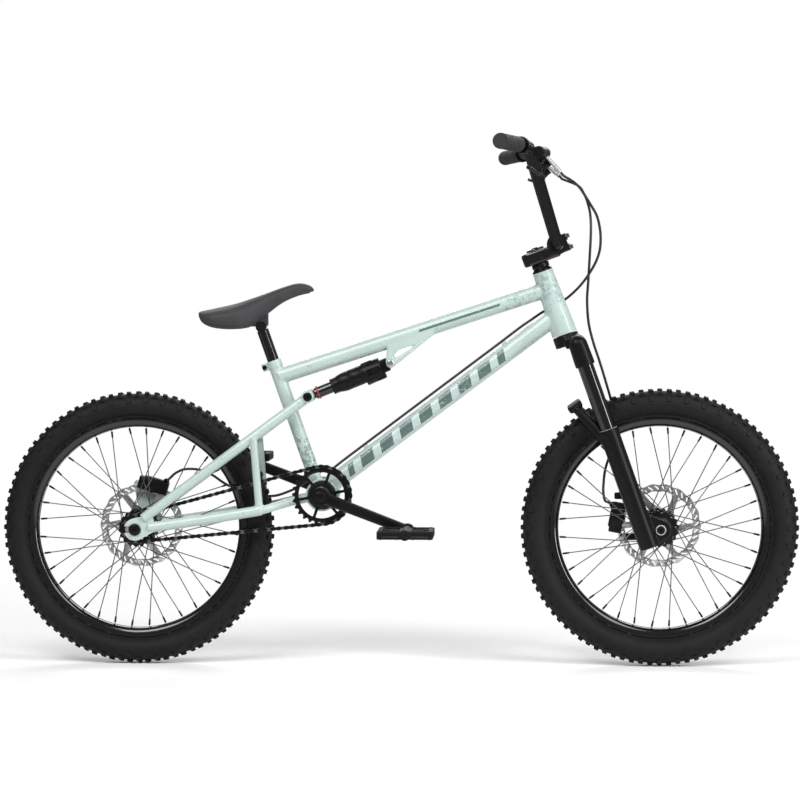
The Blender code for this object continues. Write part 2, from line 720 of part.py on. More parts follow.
def pad_section(x, top, low, half, count=14):
    base = low + SHELL_THICK + GAP
    middle = base + 0.45 * (top - base)
    points = []
    for index in range(count):
        angle = 2 * math.pi * index / count
        wave = math.sin(angle)
        power = 0.9 if wave > 0 else 0.45
        reach = (top - middle) if wave > 0 else (middle - base)
        y = half * math.copysign(abs(math.cos(angle)) ** 0.75, math.cos(angle))
        points.append(place(x, middle + reach * math.copysign(abs(wave) ** power, wave), y))
    return points


def shell_section(x, low, half):
    inner = 0.72 * half
    foot = 0.8 * inner
    high = low + SHELL_THICK
    return [place(x, low, -foot), place(x, low, foot), place(x, high, inner), place(x, high, -inner)]


def boss_section(row, low):
    """A section of the block that the shell rests on the seatpost's head with."""
    x, _, edge, _ = row
    high = edge + 2
    return [place(x, low, -14), place(x, low, 14), place(x, high, 14), place(x, high, -14)]


BOLT_SEAT = 11.5              # of the saddle bolt's head, above the seatpost head's axis
seat_shell = loft([shell_section(x, low, half) for x, _, low, half in SADDLE[1:-1]], "shell")
add(seat_shell, loft([boss_section(row, saddle_pivot.z + 0.5) for row in SADDLE[4:6]], "boss"))
cut(seat_shell,
    cross_rod(saddle_pivot, -20, 20, HEAD_DIAMETER + 2 * GAP),
    rod(seat(HEAD_UP, 0), seat(HEAD_UP + 60, 0), SADDLE_BOLT + 2 * GAP),
    rod(seat(HEAD_UP + BOLT_SEAT, 0), seat(HEAD_UP + 60, 0), 13))
part("saddle_shell", seat_shell, PLASTIC, "seatpost")
part("saddle_pad", loft([pad_section(*row) for row in SADDLE], "pad"), COVER, "seatpost")
bolt_top = HEAD_UP + BOLT_SEAT + GAP
bolt = rod(seat(HEAD_UP - 7, 0), seat(bolt_top + 1, 0), SADDLE_BOLT)
add(bolt, rod(seat(bolt_top, 0), seat(bolt_top + 2, 0), 11))
part("saddle_bolt", bolt, STEEL, "seatpost")


# Swingarm
STAY_FOOT = Vector((15.0, 58.0, 20.4))       # from the rear axle: ahead, outwards, up
CHAINSTAY_SIDE = 55.0
BOSS_OUT = 40.0
RING_OUT = 62.0
BUSH_OUT = JOURNAL_DIAMETER + 7.0
BUSH_PLAY = 1.2               # of the bushes' bores on the journals, whose 16 corners turn inside them
DROPOUT_IN = REAR_HUB_WIDTH / 2
BRAKE_TAB_IN = 51.0


def swing_side(side):
    """The stays, brace, dropout, boss and pivot ring of one side."""
    def flip(point):
        return Vector((point.x, point.y * side, point.z))
    seatstay = [from_rear(STAY_FOOT.x, STAY_FOOT.z, STAY_FOOT.y), place(200, 416.4, 52),
                place(322, 506.8, 29)]
    rear_stay = [place(24, 262, CHAINSTAY_SIDE), place(133, 278, CHAINSTAY_SIDE),
                 place(238, 296, CHAINSTAY_SIDE)]
    front_stay = [place(225, 293.8, CHAINSTAY_SIDE), place(244, 297, CHAINSTAY_SIDE), place(288, 309, 29.5),
                  place(324, 317, 29.5)]
    low, high = sorted((side * DROPOUT_IN, side * (DROPOUT_IN + DROPOUT)))
    plate = sheet([hull_of_circles([(REAR_CENTRE, 42), (from_rear(26, 18), 18), (from_rear(30, 3), 18)], 3)],
                  low, high)
    boss_low, boss_high = sorted((side * PLATE_IN, side * BOSS_OUT))
    ring_low, ring_high = sorted((side * (SHELL_HALF + GAP), side * JOURNAL_HALF))
    return [
        tube([flip(p) for p in seatstay], SEATSTAY, 2, bend=60, steps=1),
        tube([flip(p) for p in rear_stay], CHAINSTAY, 2, bend=60, steps=1),
        tube([flip(p) for p in front_stay], CHAINSTAY - 4, 2, bend=20, steps=1),
        tube([flip(place(224, 432, CHAINSTAY_SIDE)), flip(place(235, 297, CHAINSTAY_SIDE))], BRACE, 2),
        plate,
        cross_rod(SHOCK_FOOT, boss_low, boss_high, 23),
        cross_rod(CRANK_CENTRE, ring_low, ring_high, RING_OUT),
    ]


swing_shapes = swing_side(-1) + swing_side(1)
brake_tab = sheet([hull_of_circles([(place(8, 300), 18), (place(-10, 338), 14), (place(50, 316), 14),
                                    (place(10, 275), 30)], 3)], BRAKE_TAB_IN, DROPOUT_IN + 1)
swing_shape = cross_rod(place(240, 446), -46, 46, 16)
add(swing_shape, *swing_shapes, cross_rod(place(290, 309.5), -30, 30, 14), brake_tab)
cut(swing_shape,
    cross_rod(CRANK_CENTRE, -60, 60, BUSH_OUT + 2 * GAP),
    cross_rod(REAR_CENTRE, -80, 80, REAR_AXLE + 2 * GAP),
    block(from_rear(-20, 0), 40, 160, REAR_AXLE + 2 * GAP),
    cross_rod(REAR_CENTRE, BRAKE_TAB_IN - 5, DROPOUT_IN, 26),
    cross_rod(SHOCK_FOOT, -60, 60, SHOCK_BOLT + 2 * LINK_SLACK))
part("swingarm", swing_shape, PAINT, "swingarm")
for name, side in (("pivot_bush_right", -1), ("pivot_bush_left", 1)):
    ends = sorted((side * (SHELL_HALF + GAP), side * JOURNAL_HALF))
    bore = JOURNAL_DIAMETER + BUSH_PLAY
    ring(name, CRANK_CENTRE, SIDE, ends[0], ends[1], BUSH_OUT, bore, SOFT, "swingarm")
outer_face = DROPOUT_IN + DROPOUT + GAP
axle = cross_rod(REAR_CENTRE, -outer_face - 3, outer_face + 3, REAR_AXLE)
add(axle,
    cross_rod(REAR_CENTRE, -outer_face - 4, -outer_face, 23),
    cross_rod(REAR_CENTRE, outer_face, outer_face + 4, 19))
part("rear_axle", axle, SATIN, "swingarm")
bolt_seat = BOSS_OUT + GAP
pin("shock_bolt_lower", SHOCK_FOOT, -bolt_seat, bolt_seat, SHOCK_BOLT, 18, 2.5, SATIN, "shock_shaft")


BANJO = 12.0                  # diameter of a caliper's hose fitting
BANJO_ALONG = 22.0
BANJO_OUT = 14.0
REAR_CALIPER_TURN = math.radians(16)    # from straight above the axle
REAR_CALIPER = (30.0, BRAKE_TAB_IN - GAP)   # its inner and outer faces


def caliper(name, wheel, turn, faces, rotor_side, body):
    """A brake caliper at an angle from straight above the axle: body, piston boss and hose fitting."""
    low, high = faces
    axis = Vector((math.sin(turn), 0, math.cos(turn)))
    centre = wheel + axis * ROTOR_DIAMETER / 2
    middle = (low + high) / 2
    shape = block(Vector((centre.x, middle, centre.z)), 58, high - low, 26, axis)
    along = Vector((axis.z, 0, -axis.x))
    add(shape, cross_rod(centre - axis * 2, low - 2, low + 4, 24),
        cross_rod(centre + along * BANJO_ALONG + axis * BANJO_OUT, middle - 6, middle + 6, BANJO))
    slot = block(Vector((centre.x, rotor_side, centre.z)) - axis * 7, 80, ROTOR_THICKNESS + 2.4, 30, axis)
    cut(shape, slot)
    return part(name, shape, SATIN, body)


caliper("rear_caliper", REAR_CENTRE, REAR_CALIPER_TURN, REAR_CALIPER, REAR_ROTOR_SIDE, "swingarm")

# Drivetrain
CHAIN_WEB = 1.9               # thickness of the chain outside the teeth
TOOTH_ROOT = CHAIN_HEIGHT / 2 + 0.7
TOOTH_TIP_HALF = 0.14         # share of the pitch angle that half of a tooth's tip fills


def chain_place(links):
    """A point of the chain's centre line and its direction, counted in links from the ring's top."""
    lift = math.asin((RING_RADIUS - COG_RADIUS) / CENTRE_DISTANCE)
    run = CENTRE_DISTANCE * math.cos(lift) / PITCH
    cog_arc = COG_TEETH * (math.pi - 2 * lift) / (2 * math.pi)
    upper = math.pi / 2 + CHAIN_RISE + lift
    lower = CHAIN_RISE - math.pi / 2 - lift
    back = Vector((math.cos(upper + math.pi / 2), 0, math.sin(upper + math.pi / 2)))
    forth = Vector((math.cos(lower + math.pi / 2), 0, math.sin(lower + math.pi / 2)))
    links %= CHAIN_LINKS
    if links < run:
        start = CRANK_CENTRE + RING_RADIUS * Vector((math.cos(upper), 0, math.sin(upper)))
        return start + back * links * PITCH, back
    links -= run
    if links < cog_arc:
        angle = upper + links * 2 * math.pi / COG_TEETH
        spot = REAR_CENTRE + COG_RADIUS * Vector((math.cos(angle), 0, math.sin(angle)))
        return spot, Vector((-math.sin(angle), 0, math.cos(angle)))
    links -= cog_arc
    if links < run:
        start = REAR_CENTRE + COG_RADIUS * Vector((math.cos(lower), 0, math.sin(lower)))
        return start + forth * links * PITCH, forth
    links -= run
    angle = lower + links * 2 * math.pi / RING_TEETH
    spot = CRANK_CENTRE + RING_RADIUS * Vector((math.cos(angle), 0, math.sin(angle)))
    return spot, Vector((-math.sin(angle), 0, math.cos(angle)))


def roller_angle(centre, nearest):
    """The angle of one roller that lies on a sprocket, seen from its centre."""
    spot, _ = chain_place(nearest)
    return math.atan2(spot.z - centre.z, spot.x - centre.x)


def make_chain():
    """Two rows of plates all the way round, closed on the outside and open to the teeth."""
    shape = bmesh.new()
    half = CHAIN_WIDTH / 2
    inner = half - CHAIN_PLATE
    low = -CHAIN_HEIGHT / 2
    high = CHAIN_HEIGHT / 2
    web = high - CHAIN_WEB
    outline = [(half, low), (half, high), (-half, high), (-half, low), (-inner, low), (-inner, web),
               (inner, web), (inner, low)]
    stations = []
    for link in range(CHAIN_LINKS):
        spot, _ = chain_place(link)
        before, _ = chain_place(link - 1)
        after, _ = chain_place(link + 1)
        along = (after - before).normalized()
        out = Vector((along.z, 0, -along.x))
        stations.append([shape.verts.new((spot + out * height + SIDE * (y - CHAIN_LINE)) * MM)
                         for y, height in outline])
    for near, far in zip(stations, stations[1:] + stations[:1]):
        for i in range(len(outline)):
            j = (i + 1) % len(outline)
            shape.faces.new((near[i], near[j], far[j], far[i]))
    bmesh.ops.recalc_face_normals(shape, faces=shape.faces)
    return part("chain", from_bmesh(shape, Vector((0, 0, 0))), STEEL, "swingarm")


def sprocket(centre, teeth, radius, first_roller, windows=(), bore=None):
    """A toothed plate whose gaps face the chain's rollers."""
    turn = 2 * math.pi / teeth
    chord_drop = radius * (1 - math.cos(turn / 2))
    tip = CHAIN_HEIGHT / 2 - CHAIN_WEB - chord_drop - GAP
    outline = []
    for tooth in range(teeth):
        middle = first_roller + turn * (tooth + 0.5)
        for share, reach in ((-TOOTH_TIP_HALF, tip), (TOOTH_TIP_HALF, tip), (0.5, -TOOTH_ROOT)):
            angle = middle + turn * share
            outline.append(centre + (radius + reach) * Vector((math.cos(angle), 0, math.sin(angle))))
    holes = list(windows)
    if bore:
        holes.append(circle(centre, bore, SIDES))
    return sheet([outline, *holes], -CHAIN_LINE - TOOTH_WIDTH / 2, -CHAIN_LINE + TOOTH_WIDTH / 2)


RING_ARMS = 6
ARM_WIDTH = 5.0
WINDOW_OUT = 43.7
WINDOW_IN = 21.0
SPINDLE_HALF = 83.0
CRANK_IN = 67.0
CRANK_THICK = 16.0
ARM_BOSS = 34.0
RING_BOLT = 26.0              # from the crank's axis to the sprocket bolt


def ring_window(index):
    """One window between two arms of the chainring."""
    first = math.radians(11) + index * 2 * math.pi / RING_ARMS
    last = first + 2 * math.pi / RING_ARMS
    outer = ARM_WIDTH / 2 / WINDOW_OUT
    inner = ARM_WIDTH / 2 / WINDOW_IN
    angles = [first + outer + (last - first - 2 * outer) * step / 4 for step in range(5)]
    edge = [CRANK_CENTRE + WINDOW_OUT * Vector((math.cos(a), 0, math.sin(a))) for a in angles]
    for angle in (last - inner, first + inner):
        edge.append(CRANK_CENTRE + WINDOW_IN * Vector((math.cos(angle), 0, math.sin(angle))))
    return edge


def crank_plane(side):
    """The near and far faces of the arm on one side."""
    return sorted((side * CRANK_IN, side * (CRANK_IN + CRANK_THICK)))


make_chain()
chainring = sprocket(CRANK_CENTRE, RING_TEETH, RING_RADIUS, roller_angle(CRANK_CENTRE, CHAIN_LINKS - 3),
                     [ring_window(i) for i in range(RING_ARMS)])
add(chainring, cross_rod(CRANK_CENTRE, -CRANK_IN + GAP, -JOURNAL_HALF - GAP, 34))
arm_line = CRANK_TIP.normalized()
add(chainring, cross_rod(CRANK_CENTRE + arm_line * RING_BOLT, -CRANK_IN + GAP, -CHAIN_LINE, 14))
cut(chainring, cross_rod(CRANK_CENTRE, -90, 0, SPINDLE + 2 * GAP),
    cross_rod(CRANK_CENTRE + arm_line * RING_BOLT, -90, -30, 8 + 2 * GAP))
part("chainring", chainring, SATIN, "crank")
cog = sprocket(REAR_CENTRE, COG_TEETH, COG_RADIUS, roller_angle(REAR_CENTRE, 32), bore=DRIVER + 4 * GAP)
add(cog, turned([(DRIVER + 10, -35), (DRIVER + 10, -50)], [(DRIVER + 4 * GAP, -50), (DRIVER + 4 * GAP, -35)],
                REAR_CENTRE))
part("rear_cog", cog, STEEL, "cog")
spindle = cross_rod(CRANK_CENTRE, -SPINDLE_HALF - 1, SPINDLE_HALF + 1, SPINDLE)
part("crank_spindle", spindle, STEEL, "crank")
for name, side in (("right", -1), ("left", 1)):
    low, high = crank_plane(side)
    tip = CRANK_CENTRE - side * CRANK_TIP
    across = Vector((-arm_line.z, 0, arm_line.x))
    edge = [CRANK_CENTRE + across * 12, tip + across * 10.5, tip - across * 10.5, CRANK_CENTRE - across * 12]
    arm = sheet([edge], low + 1, high - 1)
    add(arm, cross_rod(CRANK_CENTRE, low, high, ARM_BOSS), cross_rod(tip, low + 1, high - 1, 27))
    cut(arm, cross_rod(CRANK_CENTRE, low - 9, high + 9, SPINDLE + 2 * GAP),
        cross_rod(tip, low - 9, high + 9, 14 + 2 * GAP))
    if side < 0:
        cut(arm, cross_rod(CRANK_CENTRE + arm_line * RING_BOLT, -90, -30, 8 + 2 * GAP))
    part("crank_arm_" + name, arm, SATIN, "crank")
bolt_place = CRANK_CENTRE + arm_line * RING_BOLT
ring_bolt = cross_rod(bolt_place, -SPINDLE_HALF - 2, -CHAIN_LINE + 2, 8)
add(ring_bolt, cross_rod(bolt_place, -SPINDLE_HALF - 3, -SPINDLE_HALF + 1 - GAP, 17))
part("sprocket_bolt", ring_bolt, STEEL, "crank")

# Pedals
PEDAL_LONG = 104.0
PEDAL_WIDE = 98.0
PEDAL_THICK = 17.0
PEDAL_AXLE = 9.0


def make_pedal(name, side):
    """A platform with four windows, on a spindle that is screwed into the crank arm."""
    hub = CRANK_CENTRE - side * CRANK_TIP
    centre = Vector((hub.x, side * PEDAL_SIDE, hub.z))
    arm_face = side * (CRANK_IN + CRANK_THICK)
    inner = centre.y - side * PEDAL_WIDE / 2
    outer = centre.y + side * PEDAL_WIDE / 2
    spindle_shape = cross_rod(hub, *sorted((side * (CRANK_IN + 1), outer - side * 8)), PEDAL_AXLE)
    add(spindle_shape, cross_rod(hub, *sorted((side * (CRANK_IN + 1), arm_face - side)), 14),
        cross_rod(hub, *sorted((arm_face + side * GAP, inner - side * GAP)), 17))
    part("pedal_spindle_" + name, spindle_shape, STEEL, "crank")
    body = block(centre, PEDAL_LONG, PEDAL_WIDE, PEDAL_THICK)
    chamfer = body.modifiers.new("edges", "BEVEL")
    chamfer.width = 4 * MM
    chamfer.segments = 1
    windows = []
    for ahead in (-1, 1):
        for out in (-1, 1):
            spot = centre + Vector((ahead * 27, out * 23, 0))
            windows.append(block(spot, 32, 36, 40))
    cut(body, *windows)
    add(body, cross_rod(hub, *sorted((inner, outer - side * 2)), 20))
    cut(body, cross_rod(hub, *sorted((inner - side * 10, outer - side * 6)), PEDAL_AXLE + 4 * GAP))
    return part("pedal_body_" + name, body, PLASTIC, "pedal_" + name)


make_pedal("right", -1)
make_pedal("left", 1)

# Shock
EYE = 17.6
RING_PLACE = 19.0             # of the travel ring, from the lower eye
CAN_MOUTH = 47.0
CAN_NECK = 30.0
CAN_TOP = 116.0
SWALLOW = 12.0                # depth of the can's mouth that takes the travel ring
RING_WALL = 1.4


def shock(along, lift=0.0, y=0.0):
    """A point measured from the lower eye along the shock and above it."""
    return SHOCK_FOOT + SHOCK_AXIS * along + Vector((-SHOCK_AXIS.z, 0, SHOCK_AXIS.x)) * lift + SIDE * y


body_shape = rod(shock(CAN_MOUTH, 0), shock(CAN_MOUTH + 12, 0), CAN_NECK)
add(body_shape,
    rod(shock(CAN_MOUTH + 10, 0), shock(CAN_MOUTH + 26, 0), CAN_NECK, SHOCK_CAN),
    rod(shock(CAN_MOUTH + 25, 0), shock(CAN_TOP + 2, 0), SHOCK_CAN),
    rod(shock(CAN_TOP, -2), shock(CAN_TOP + 32, -2), 44, 40),
    cross_rod(SHOCK_HEAD, -SHOCK_EYE_HALF, SHOCK_EYE_HALF, EYE),
    block(shock(SHOCK_LENGTH - 14, 0), 22, 16, 26, None))
cut(body_shape,
    rod(shock(CAN_MOUTH - 5, 0), shock(CAN_MOUTH + SWALLOW, 0), SHOCK_SHAFT + 2 * RING_WALL + 4 * GAP),
    rod(shock(CAN_MOUTH, 0), shock(CAN_TOP - 6, 0), SHOCK_SHAFT + 2 * GAP),
    cross_rod(SHOCK_HEAD, -30, 30, SHOCK_BOLT + 2 * GAP))
part("shock_body", body_shape, SATIN, "shock_body")
shaft = rod(shock(13, 0), shock(CAN_MOUTH + 24, 0), SHOCK_SHAFT)
add(shaft,
    cross_rod(SHOCK_FOOT, -SHOCK_EYE_HALF, SHOCK_EYE_HALF, EYE),
    block(shock(8, 0), 16, 18, 16, SHOCK_AXIS))
cut(shaft, cross_rod(SHOCK_FOOT, -30, 30, SHOCK_BOLT + 2 * GAP))
part("shock_shaft", shaft, GLOSS, "shock_shaft")
ring("shock_travel_ring", shock(RING_PLACE, 0), SHOCK_AXIS, -1.5, 1.5, SHOCK_SHAFT + 2 * RING_WALL + 2 * GAP,
     SHOCK_SHAFT + 2 * GAP, RED, "shock_shaft")

# Fork
LEG_TOP = -255.0              # along the steering axis from the head tube's middle
LEG_BOTTOM = -493.0
CROWN_TOP = -63.0
CROWN_CLAMP_LOW = -130.0
STANCHION_INSIDE = 120.0
STEERER_TOP = 102.0
LUG_IN = FRONT_HUB_WIDTH / 2


def leg(side, up, ahead=0.0):
    """A point on one leg's axis."""
    return steer(up, LEG_OFFSET + ahead, side * LEG_SPREAD)


crown = rod(steer(CROWN_TOP - 6, 0), steer(STEERER_TOP, 0), STEERER)
add(crown, rod(steer(CROWN_TOP - 24, 0), steer(CROWN_TOP, 0), 50),
    rod(steer(CROWN_TOP - 3, 0), steer(LOWER_SEAT / 2 - HEAD_LENGTH / 2, 0), CROWN_RACE),
    block(steer(CROWN_TOP - 17, 9), 31, 2 * LEG_SPREAD - 9, 21, UP))
for side in (-1, 1):
    add(crown, rod(leg(side, CROWN_CLAMP_LOW), leg(side, CROWN_TOP - 12), 38, 34))
for side in (-1, 1):
    cut(crown, rod(leg(side, CROWN_CLAMP_LOW - 5), leg(side, CROWN_TOP - 22), STANCHION + 2 * GAP))
part("fork_crown", crown, SATIN, "steering")
for name, side in (("right", -1), ("left", 1)):
    tube_shape = rod(leg(side, LEG_TOP - STANCHION_INSIDE), leg(side, CROWN_TOP - 22 - GAP), STANCHION)
    part("stanchion_" + name, tube_shape, GLOSS, "steering")

FRONT_TAB_IN = 45.0
ARCH_ANGLE = math.radians(15.5)     # of the arch, behind the steering axis seen from the axle
ARCH_RADIUS = 279.0                 # from the front axle to the middle of the arch


def front_round(radius, angle, y=0.0):
    """A point round the front axle, its angle measured back from the steering axis."""
    return FRONT_CENTRE + UP * radius * math.cos(angle) - AHEAD * radius * math.sin(angle) + SIDE * y


def lug(side):
    """The plate at the foot of a leg that carries the axle."""
    low, high = sorted((side * LUG_IN, side * (LUG_IN + 16)))
    foot = [Vector((leg(side, up).x, 0, leg(side, up).z)) for up in (-478, -428)]
    return sheet([hull_of_circles([(FRONT_CENTRE, 38), (foot[0], 28), (foot[1], 20)], 3)], low, high)


arch_axis = front_round(1, ARCH_ANGLE) - FRONT_CENTRE
arch = block(front_round(ARCH_RADIUS, ARCH_ANGLE), 28, 100, 14, arch_axis)
lowers = rod(leg(-1, LEG_BOTTOM), leg(-1, LEG_TOP), LOWER_LEG)
add(lowers, rod(leg(1, LEG_BOTTOM), leg(1, LEG_TOP), LOWER_LEG), arch, lug(-1), lug(1))
for side in (-1, 1):
    add(lowers, rod(leg(side, LEG_TOP - 22, -8), front_round(ARCH_RADIUS - 3, ARCH_ANGLE, side * 46), 26, 17))
FRONT_CALIPER_TURN = math.radians(-79)
FRONT_CALIPER = (26.0, FRONT_TAB_IN - GAP)
tab_high = place(WHEELBASE - 64, 318, FRONT_TAB_IN + 6)
tab_low = place(WHEELBASE - 52, 240, FRONT_TAB_IN + 6)
add(lowers, block(tab_high, 40, 12, 13), block(tab_low, 44, 12, 13))
for side in (-1, 1):
    cut(lowers, rod(leg(side, LEG_BOTTOM + 12), leg(side, LEG_TOP + 40), STANCHION + 2 * GAP))
cut(lowers, cross_rod(FRONT_CENTRE, -90, 90, FRONT_AXLE + 2 * GAP))
part("fork_lowers", lowers, SATIN, "fork_lowers")
caliper("front_caliper", FRONT_CENTRE, FRONT_CALIPER_TURN, FRONT_CALIPER, FRONT_ROTOR_SIDE, "fork_lowers")
lug_face = LUG_IN + 16 + GAP
front_axle = cross_rod(FRONT_CENTRE, -lug_face - 2, lug_face + 1, FRONT_AXLE)
add(front_axle,
    cross_rod(FRONT_CENTRE, -lug_face - 2.5, -lug_face, 19),
    cross_rod(FRONT_CENTRE, lug_face, lug_face + 2.5, 19))
part("front_axle", front_axle, SATIN, "fork_lowers")

# Stem
BAR_AHEAD = 43.0
BAR_UP = 102.0
STEM_LOW = 79.0
STEM_HIGH = 104.0
STEM_WIDE = 44.0
CLAMP_WIDE = 50.0
CLAMP = 40.0
bar_centre = steer(BAR_UP, BAR_AHEAD)
cover_profile = [(30.5, 70), (33, 66.5), (38.6, 65), (38.6, HEAD_LENGTH / 2 + GAP)]
cover_bore = [(STEERER + 2 * GAP, HEAD_LENGTH / 2 + GAP), (STEERER + 2 * GAP, 70)]
part("headset_top_cover", turned(cover_profile, cover_bore, HEAD_MIDDLE, UP), SATIN, "steering")
ring("headset_spacer", HEAD_MIDDLE, UP, 70 + GAP, STEM_LOW - GAP, 33, STEERER + 2 * GAP, SATIN, "steering")
stem_middle = (STEM_LOW + STEM_HIGH) / 2
stem = block(steer(stem_middle, 7), 72, STEM_WIDE, STEM_HIGH - STEM_LOW, UP)
add(stem, cross_rod(bar_centre, -CLAMP_WIDE / 2, CLAMP_WIDE / 2, CLAMP))
cut(stem, block(steer(BAR_UP, BAR_AHEAD + 50 - GAP / 2), 100, 90, 100, UP),
    cross_rod(bar_centre, -40, 40, BAR + 2 * GAP),
    rod(steer(50, 0), steer(140, 0), STEERER + 2 * GAP))
part("stem_body", stem, GLOSS, "steering")
clamp = block(steer(BAR_UP - 2, BAR_AHEAD + 10), 24, CLAMP_WIDE, 34, UP)
add(clamp, cross_rod(bar_centre, -CLAMP_WIDE / 2, CLAMP_WIDE / 2, CLAMP))
for up in (-11, 11):
    for y in (-18, 18):
        spot = steer(BAR_UP - 2 + up, BAR_AHEAD, y)
        add(clamp, rod(spot + AHEAD * 20, spot + AHEAD * 27, 8))
cut(clamp, block(steer(BAR_UP, BAR_AHEAD - 50 + GAP / 2), 100, 90, 100, UP),
    cross_rod(bar_centre, -40, 40, BAR + 2 * GAP))
part("stem_clamp", clamp, GLOSS, "steering")
cap = rod(steer(STEM_HIGH + GAP, 0), steer(STEM_HIGH + 4, 0), 34)
add(cap, rod(steer(STEM_HIGH + 3, 0), steer(STEM_HIGH + 6, 0), 12))
part("stem_top_cap", cap, GLOSS, "steering")

# Handlebar and grips
BAR_TURN = (741.0, 974.0, 127.0)    # where each upright bends out to its grip
BAR_END = (691.5, 973.5)
UPRIGHT_SIDE = 40.0
BAR_BEND = 22.0
CROSSBAR_UP = 860.0
END_CAP = 4.0
ahead_shift = WHEELBASE - 988.0


def bar_point(x, z, y):
    """A point of the handlebar, which moves with the front wheel."""
    return place(x + ahead_shift, z, y)


def bar_ends(side):
    """The bend and the end of the bar on one side, and the direction between them."""
    turn_place = bar_point(BAR_TURN[0], BAR_TURN[1], side * BAR_TURN[2])
    end = bar_point(BAR_END[0], BAR_END[1], side * BAR_HALF)
    return turn_place, end, (end - turn_place).normalized()


low_right = Vector((bar_centre.x, -UPRIGHT_SIDE, bar_centre.z))
low_left = Vector((bar_centre.x, UPRIGHT_SIDE, bar_centre.z))
turn_right, end_right, out_right = bar_ends(-1)
turn_left, end_left, out_left = bar_ends(1)
bar_path = [end_right - out_right * END_CAP, turn_right, low_right,
            low_left, turn_left, end_left - out_left * END_CAP]
bar = tube(bar_path, BAR, 3, bend=BAR_BEND, steps=2)
rise = (CROSSBAR_UP - low_right.z) / (turn_right.z - low_right.z)
add(bar, rod(low_right.lerp(turn_right, rise), low_left.lerp(turn_left, rise), 16))
part("handlebar", bar, SATIN, "steering")
for name, side in (("right", -1), ("left", 1)):
    _, end, out = bar_ends(side)
    grip = rod(end, end - out * GRIP_LENGTH, GRIP)
    cut(grip, rod(end - out * (END_CAP - GAP), end - out * (GRIP_LENGTH + 5), BAR + 2 * GAP))
    part("grip_" + name, grip, SOFT, "steering")

# Brake masters and levers
MASTER_OUT = 69.0             # of the clamp, along the bar from its bend
MASTER_BAND = 32.0
MASTER_BAND_WIDE = 14.0
MASTER_BODY = 22.0
MASTER_HALF = 31.0
MASTER_PLACE = (38.0, -14.0)  # ahead of and above the bar's axis
LEVER_PLACE = (48.0, -36.0)   # of the lever's pin
LEVER_MIDDLE = (42.0, -50.0)  # of the blade
LEVER_BOSS = 12.0
LEVER_HALF = 4.0              # half the height of the lever's boss
LEVER_LUG = 3.0
LEVER_LUG_WIDE = 11.0
LEVER_PIN = 5.0
LEVER_BLADE = 7.6
FITTING = 9.0
HOSE_ENDS = {"right": (798.0, 926.0, -168.0), "left": (799.0, 930.0, 166.0)}


def beside_bar(side, out_by, ahead_by, up_by):
    """A point along the bar from the brake clamp, ahead of the bar and above it."""
    turn_place, _, out = bar_ends(side)
    ahead = (Vector((1, 0, 0)) - out * out.x).normalized()
    up = ahead.cross(out) * side
    return turn_place + out * (MASTER_OUT + out_by) + ahead * ahead_by + up * up_by


def turned_block(centre, sizes, first, second):
    """A box whose first two edges run along the two directions, which are square to each other."""
    shape = bmesh.new()
    bmesh.ops.create_cube(shape, size=MM)
    bmesh.ops.scale(shape, vec=sizes, verts=shape.verts)
    turn = Matrix((first, second, first.cross(second))).transposed()
    bmesh.ops.transform(shape, matrix=turn.to_4x4(), verts=shape.verts)
    bmesh.ops.recalc_face_normals(shape, faces=shape.faces)
    return from_bmesh(shape, centre)


def make_brake(name, side):
    """A master cylinder clamped on the bar, and the lever that turns on its pin."""
    _, _, out = bar_ends(side)
    band = beside_bar(side, 0, 0, 0)
    centre = beside_bar(side, 0, *MASTER_PLACE)
    pin_place = beside_bar(side, 0, *LEVER_PLACE)
    to_grip = (beside_bar(side, 0, 0, 0) - beside_bar(side, 0, *LEVER_MIDDLE)).normalized()
    across = out.cross(to_grip).normalized()
    slot = LEVER_HALF + GAP
    fitting_start = beside_bar(side, -12, *MASTER_PLACE)
    hose_end = bar_point(*HOSE_ENDS[name])
    master = rod(centre - out * MASTER_HALF, centre + out * MASTER_HALF, MASTER_BODY)
    add(master,
        rod(band - out * MASTER_BAND_WIDE / 2, band + out * MASTER_BAND_WIDE / 2, MASTER_BAND),
        rod(band.lerp(centre, 0.3), centre, 12),
        rod(fitting_start, hose_end, FITTING),
        turned_block(pin_place + to_grip * 9, (LEVER_LUG_WIDE, 30, 2 * (slot + LEVER_LUG)), out, to_grip))
    cut(master,
        rod(band - out * MASTER_BAND_WIDE, band + out * MASTER_BAND_WIDE, BAR + 2 * GAP),
        turned_block(pin_place, (30, 20, 2 * slot), out, to_grip))
    reach = slot + LEVER_LUG
    add(master, rod(pin_place - across * (reach - 1), pin_place + across * (reach - 1), LEVER_PIN))
    part("brake_master_" + name, master, SATIN, "steering")
    pivot("lever_" + name, pin_place, "steering")
    lever = rod(pin_place - across * LEVER_HALF, pin_place + across * LEVER_HALF, LEVER_BOSS)
    blade = [pin_place + out * (LEVER_PIN / 2 + 2), beside_bar(side, 22, 48, -44),
             beside_bar(side, 42, 46, -56),
             beside_bar(side, 80, *LEVER_MIDDLE), beside_bar(side, 118, 38, -45)]
    add(lever, tube(blade, LEVER_BLADE, 2, bend=30, steps=1))
    through = across * 2 * LEVER_HALF
    cut(lever, rod(pin_place - through, pin_place + through, LEVER_PIN + 2 * GAP))
    part("lever_" + name, lever, SATIN, "lever_" + name)
    return hose_end, (hose_end - fitting_start).normalized()


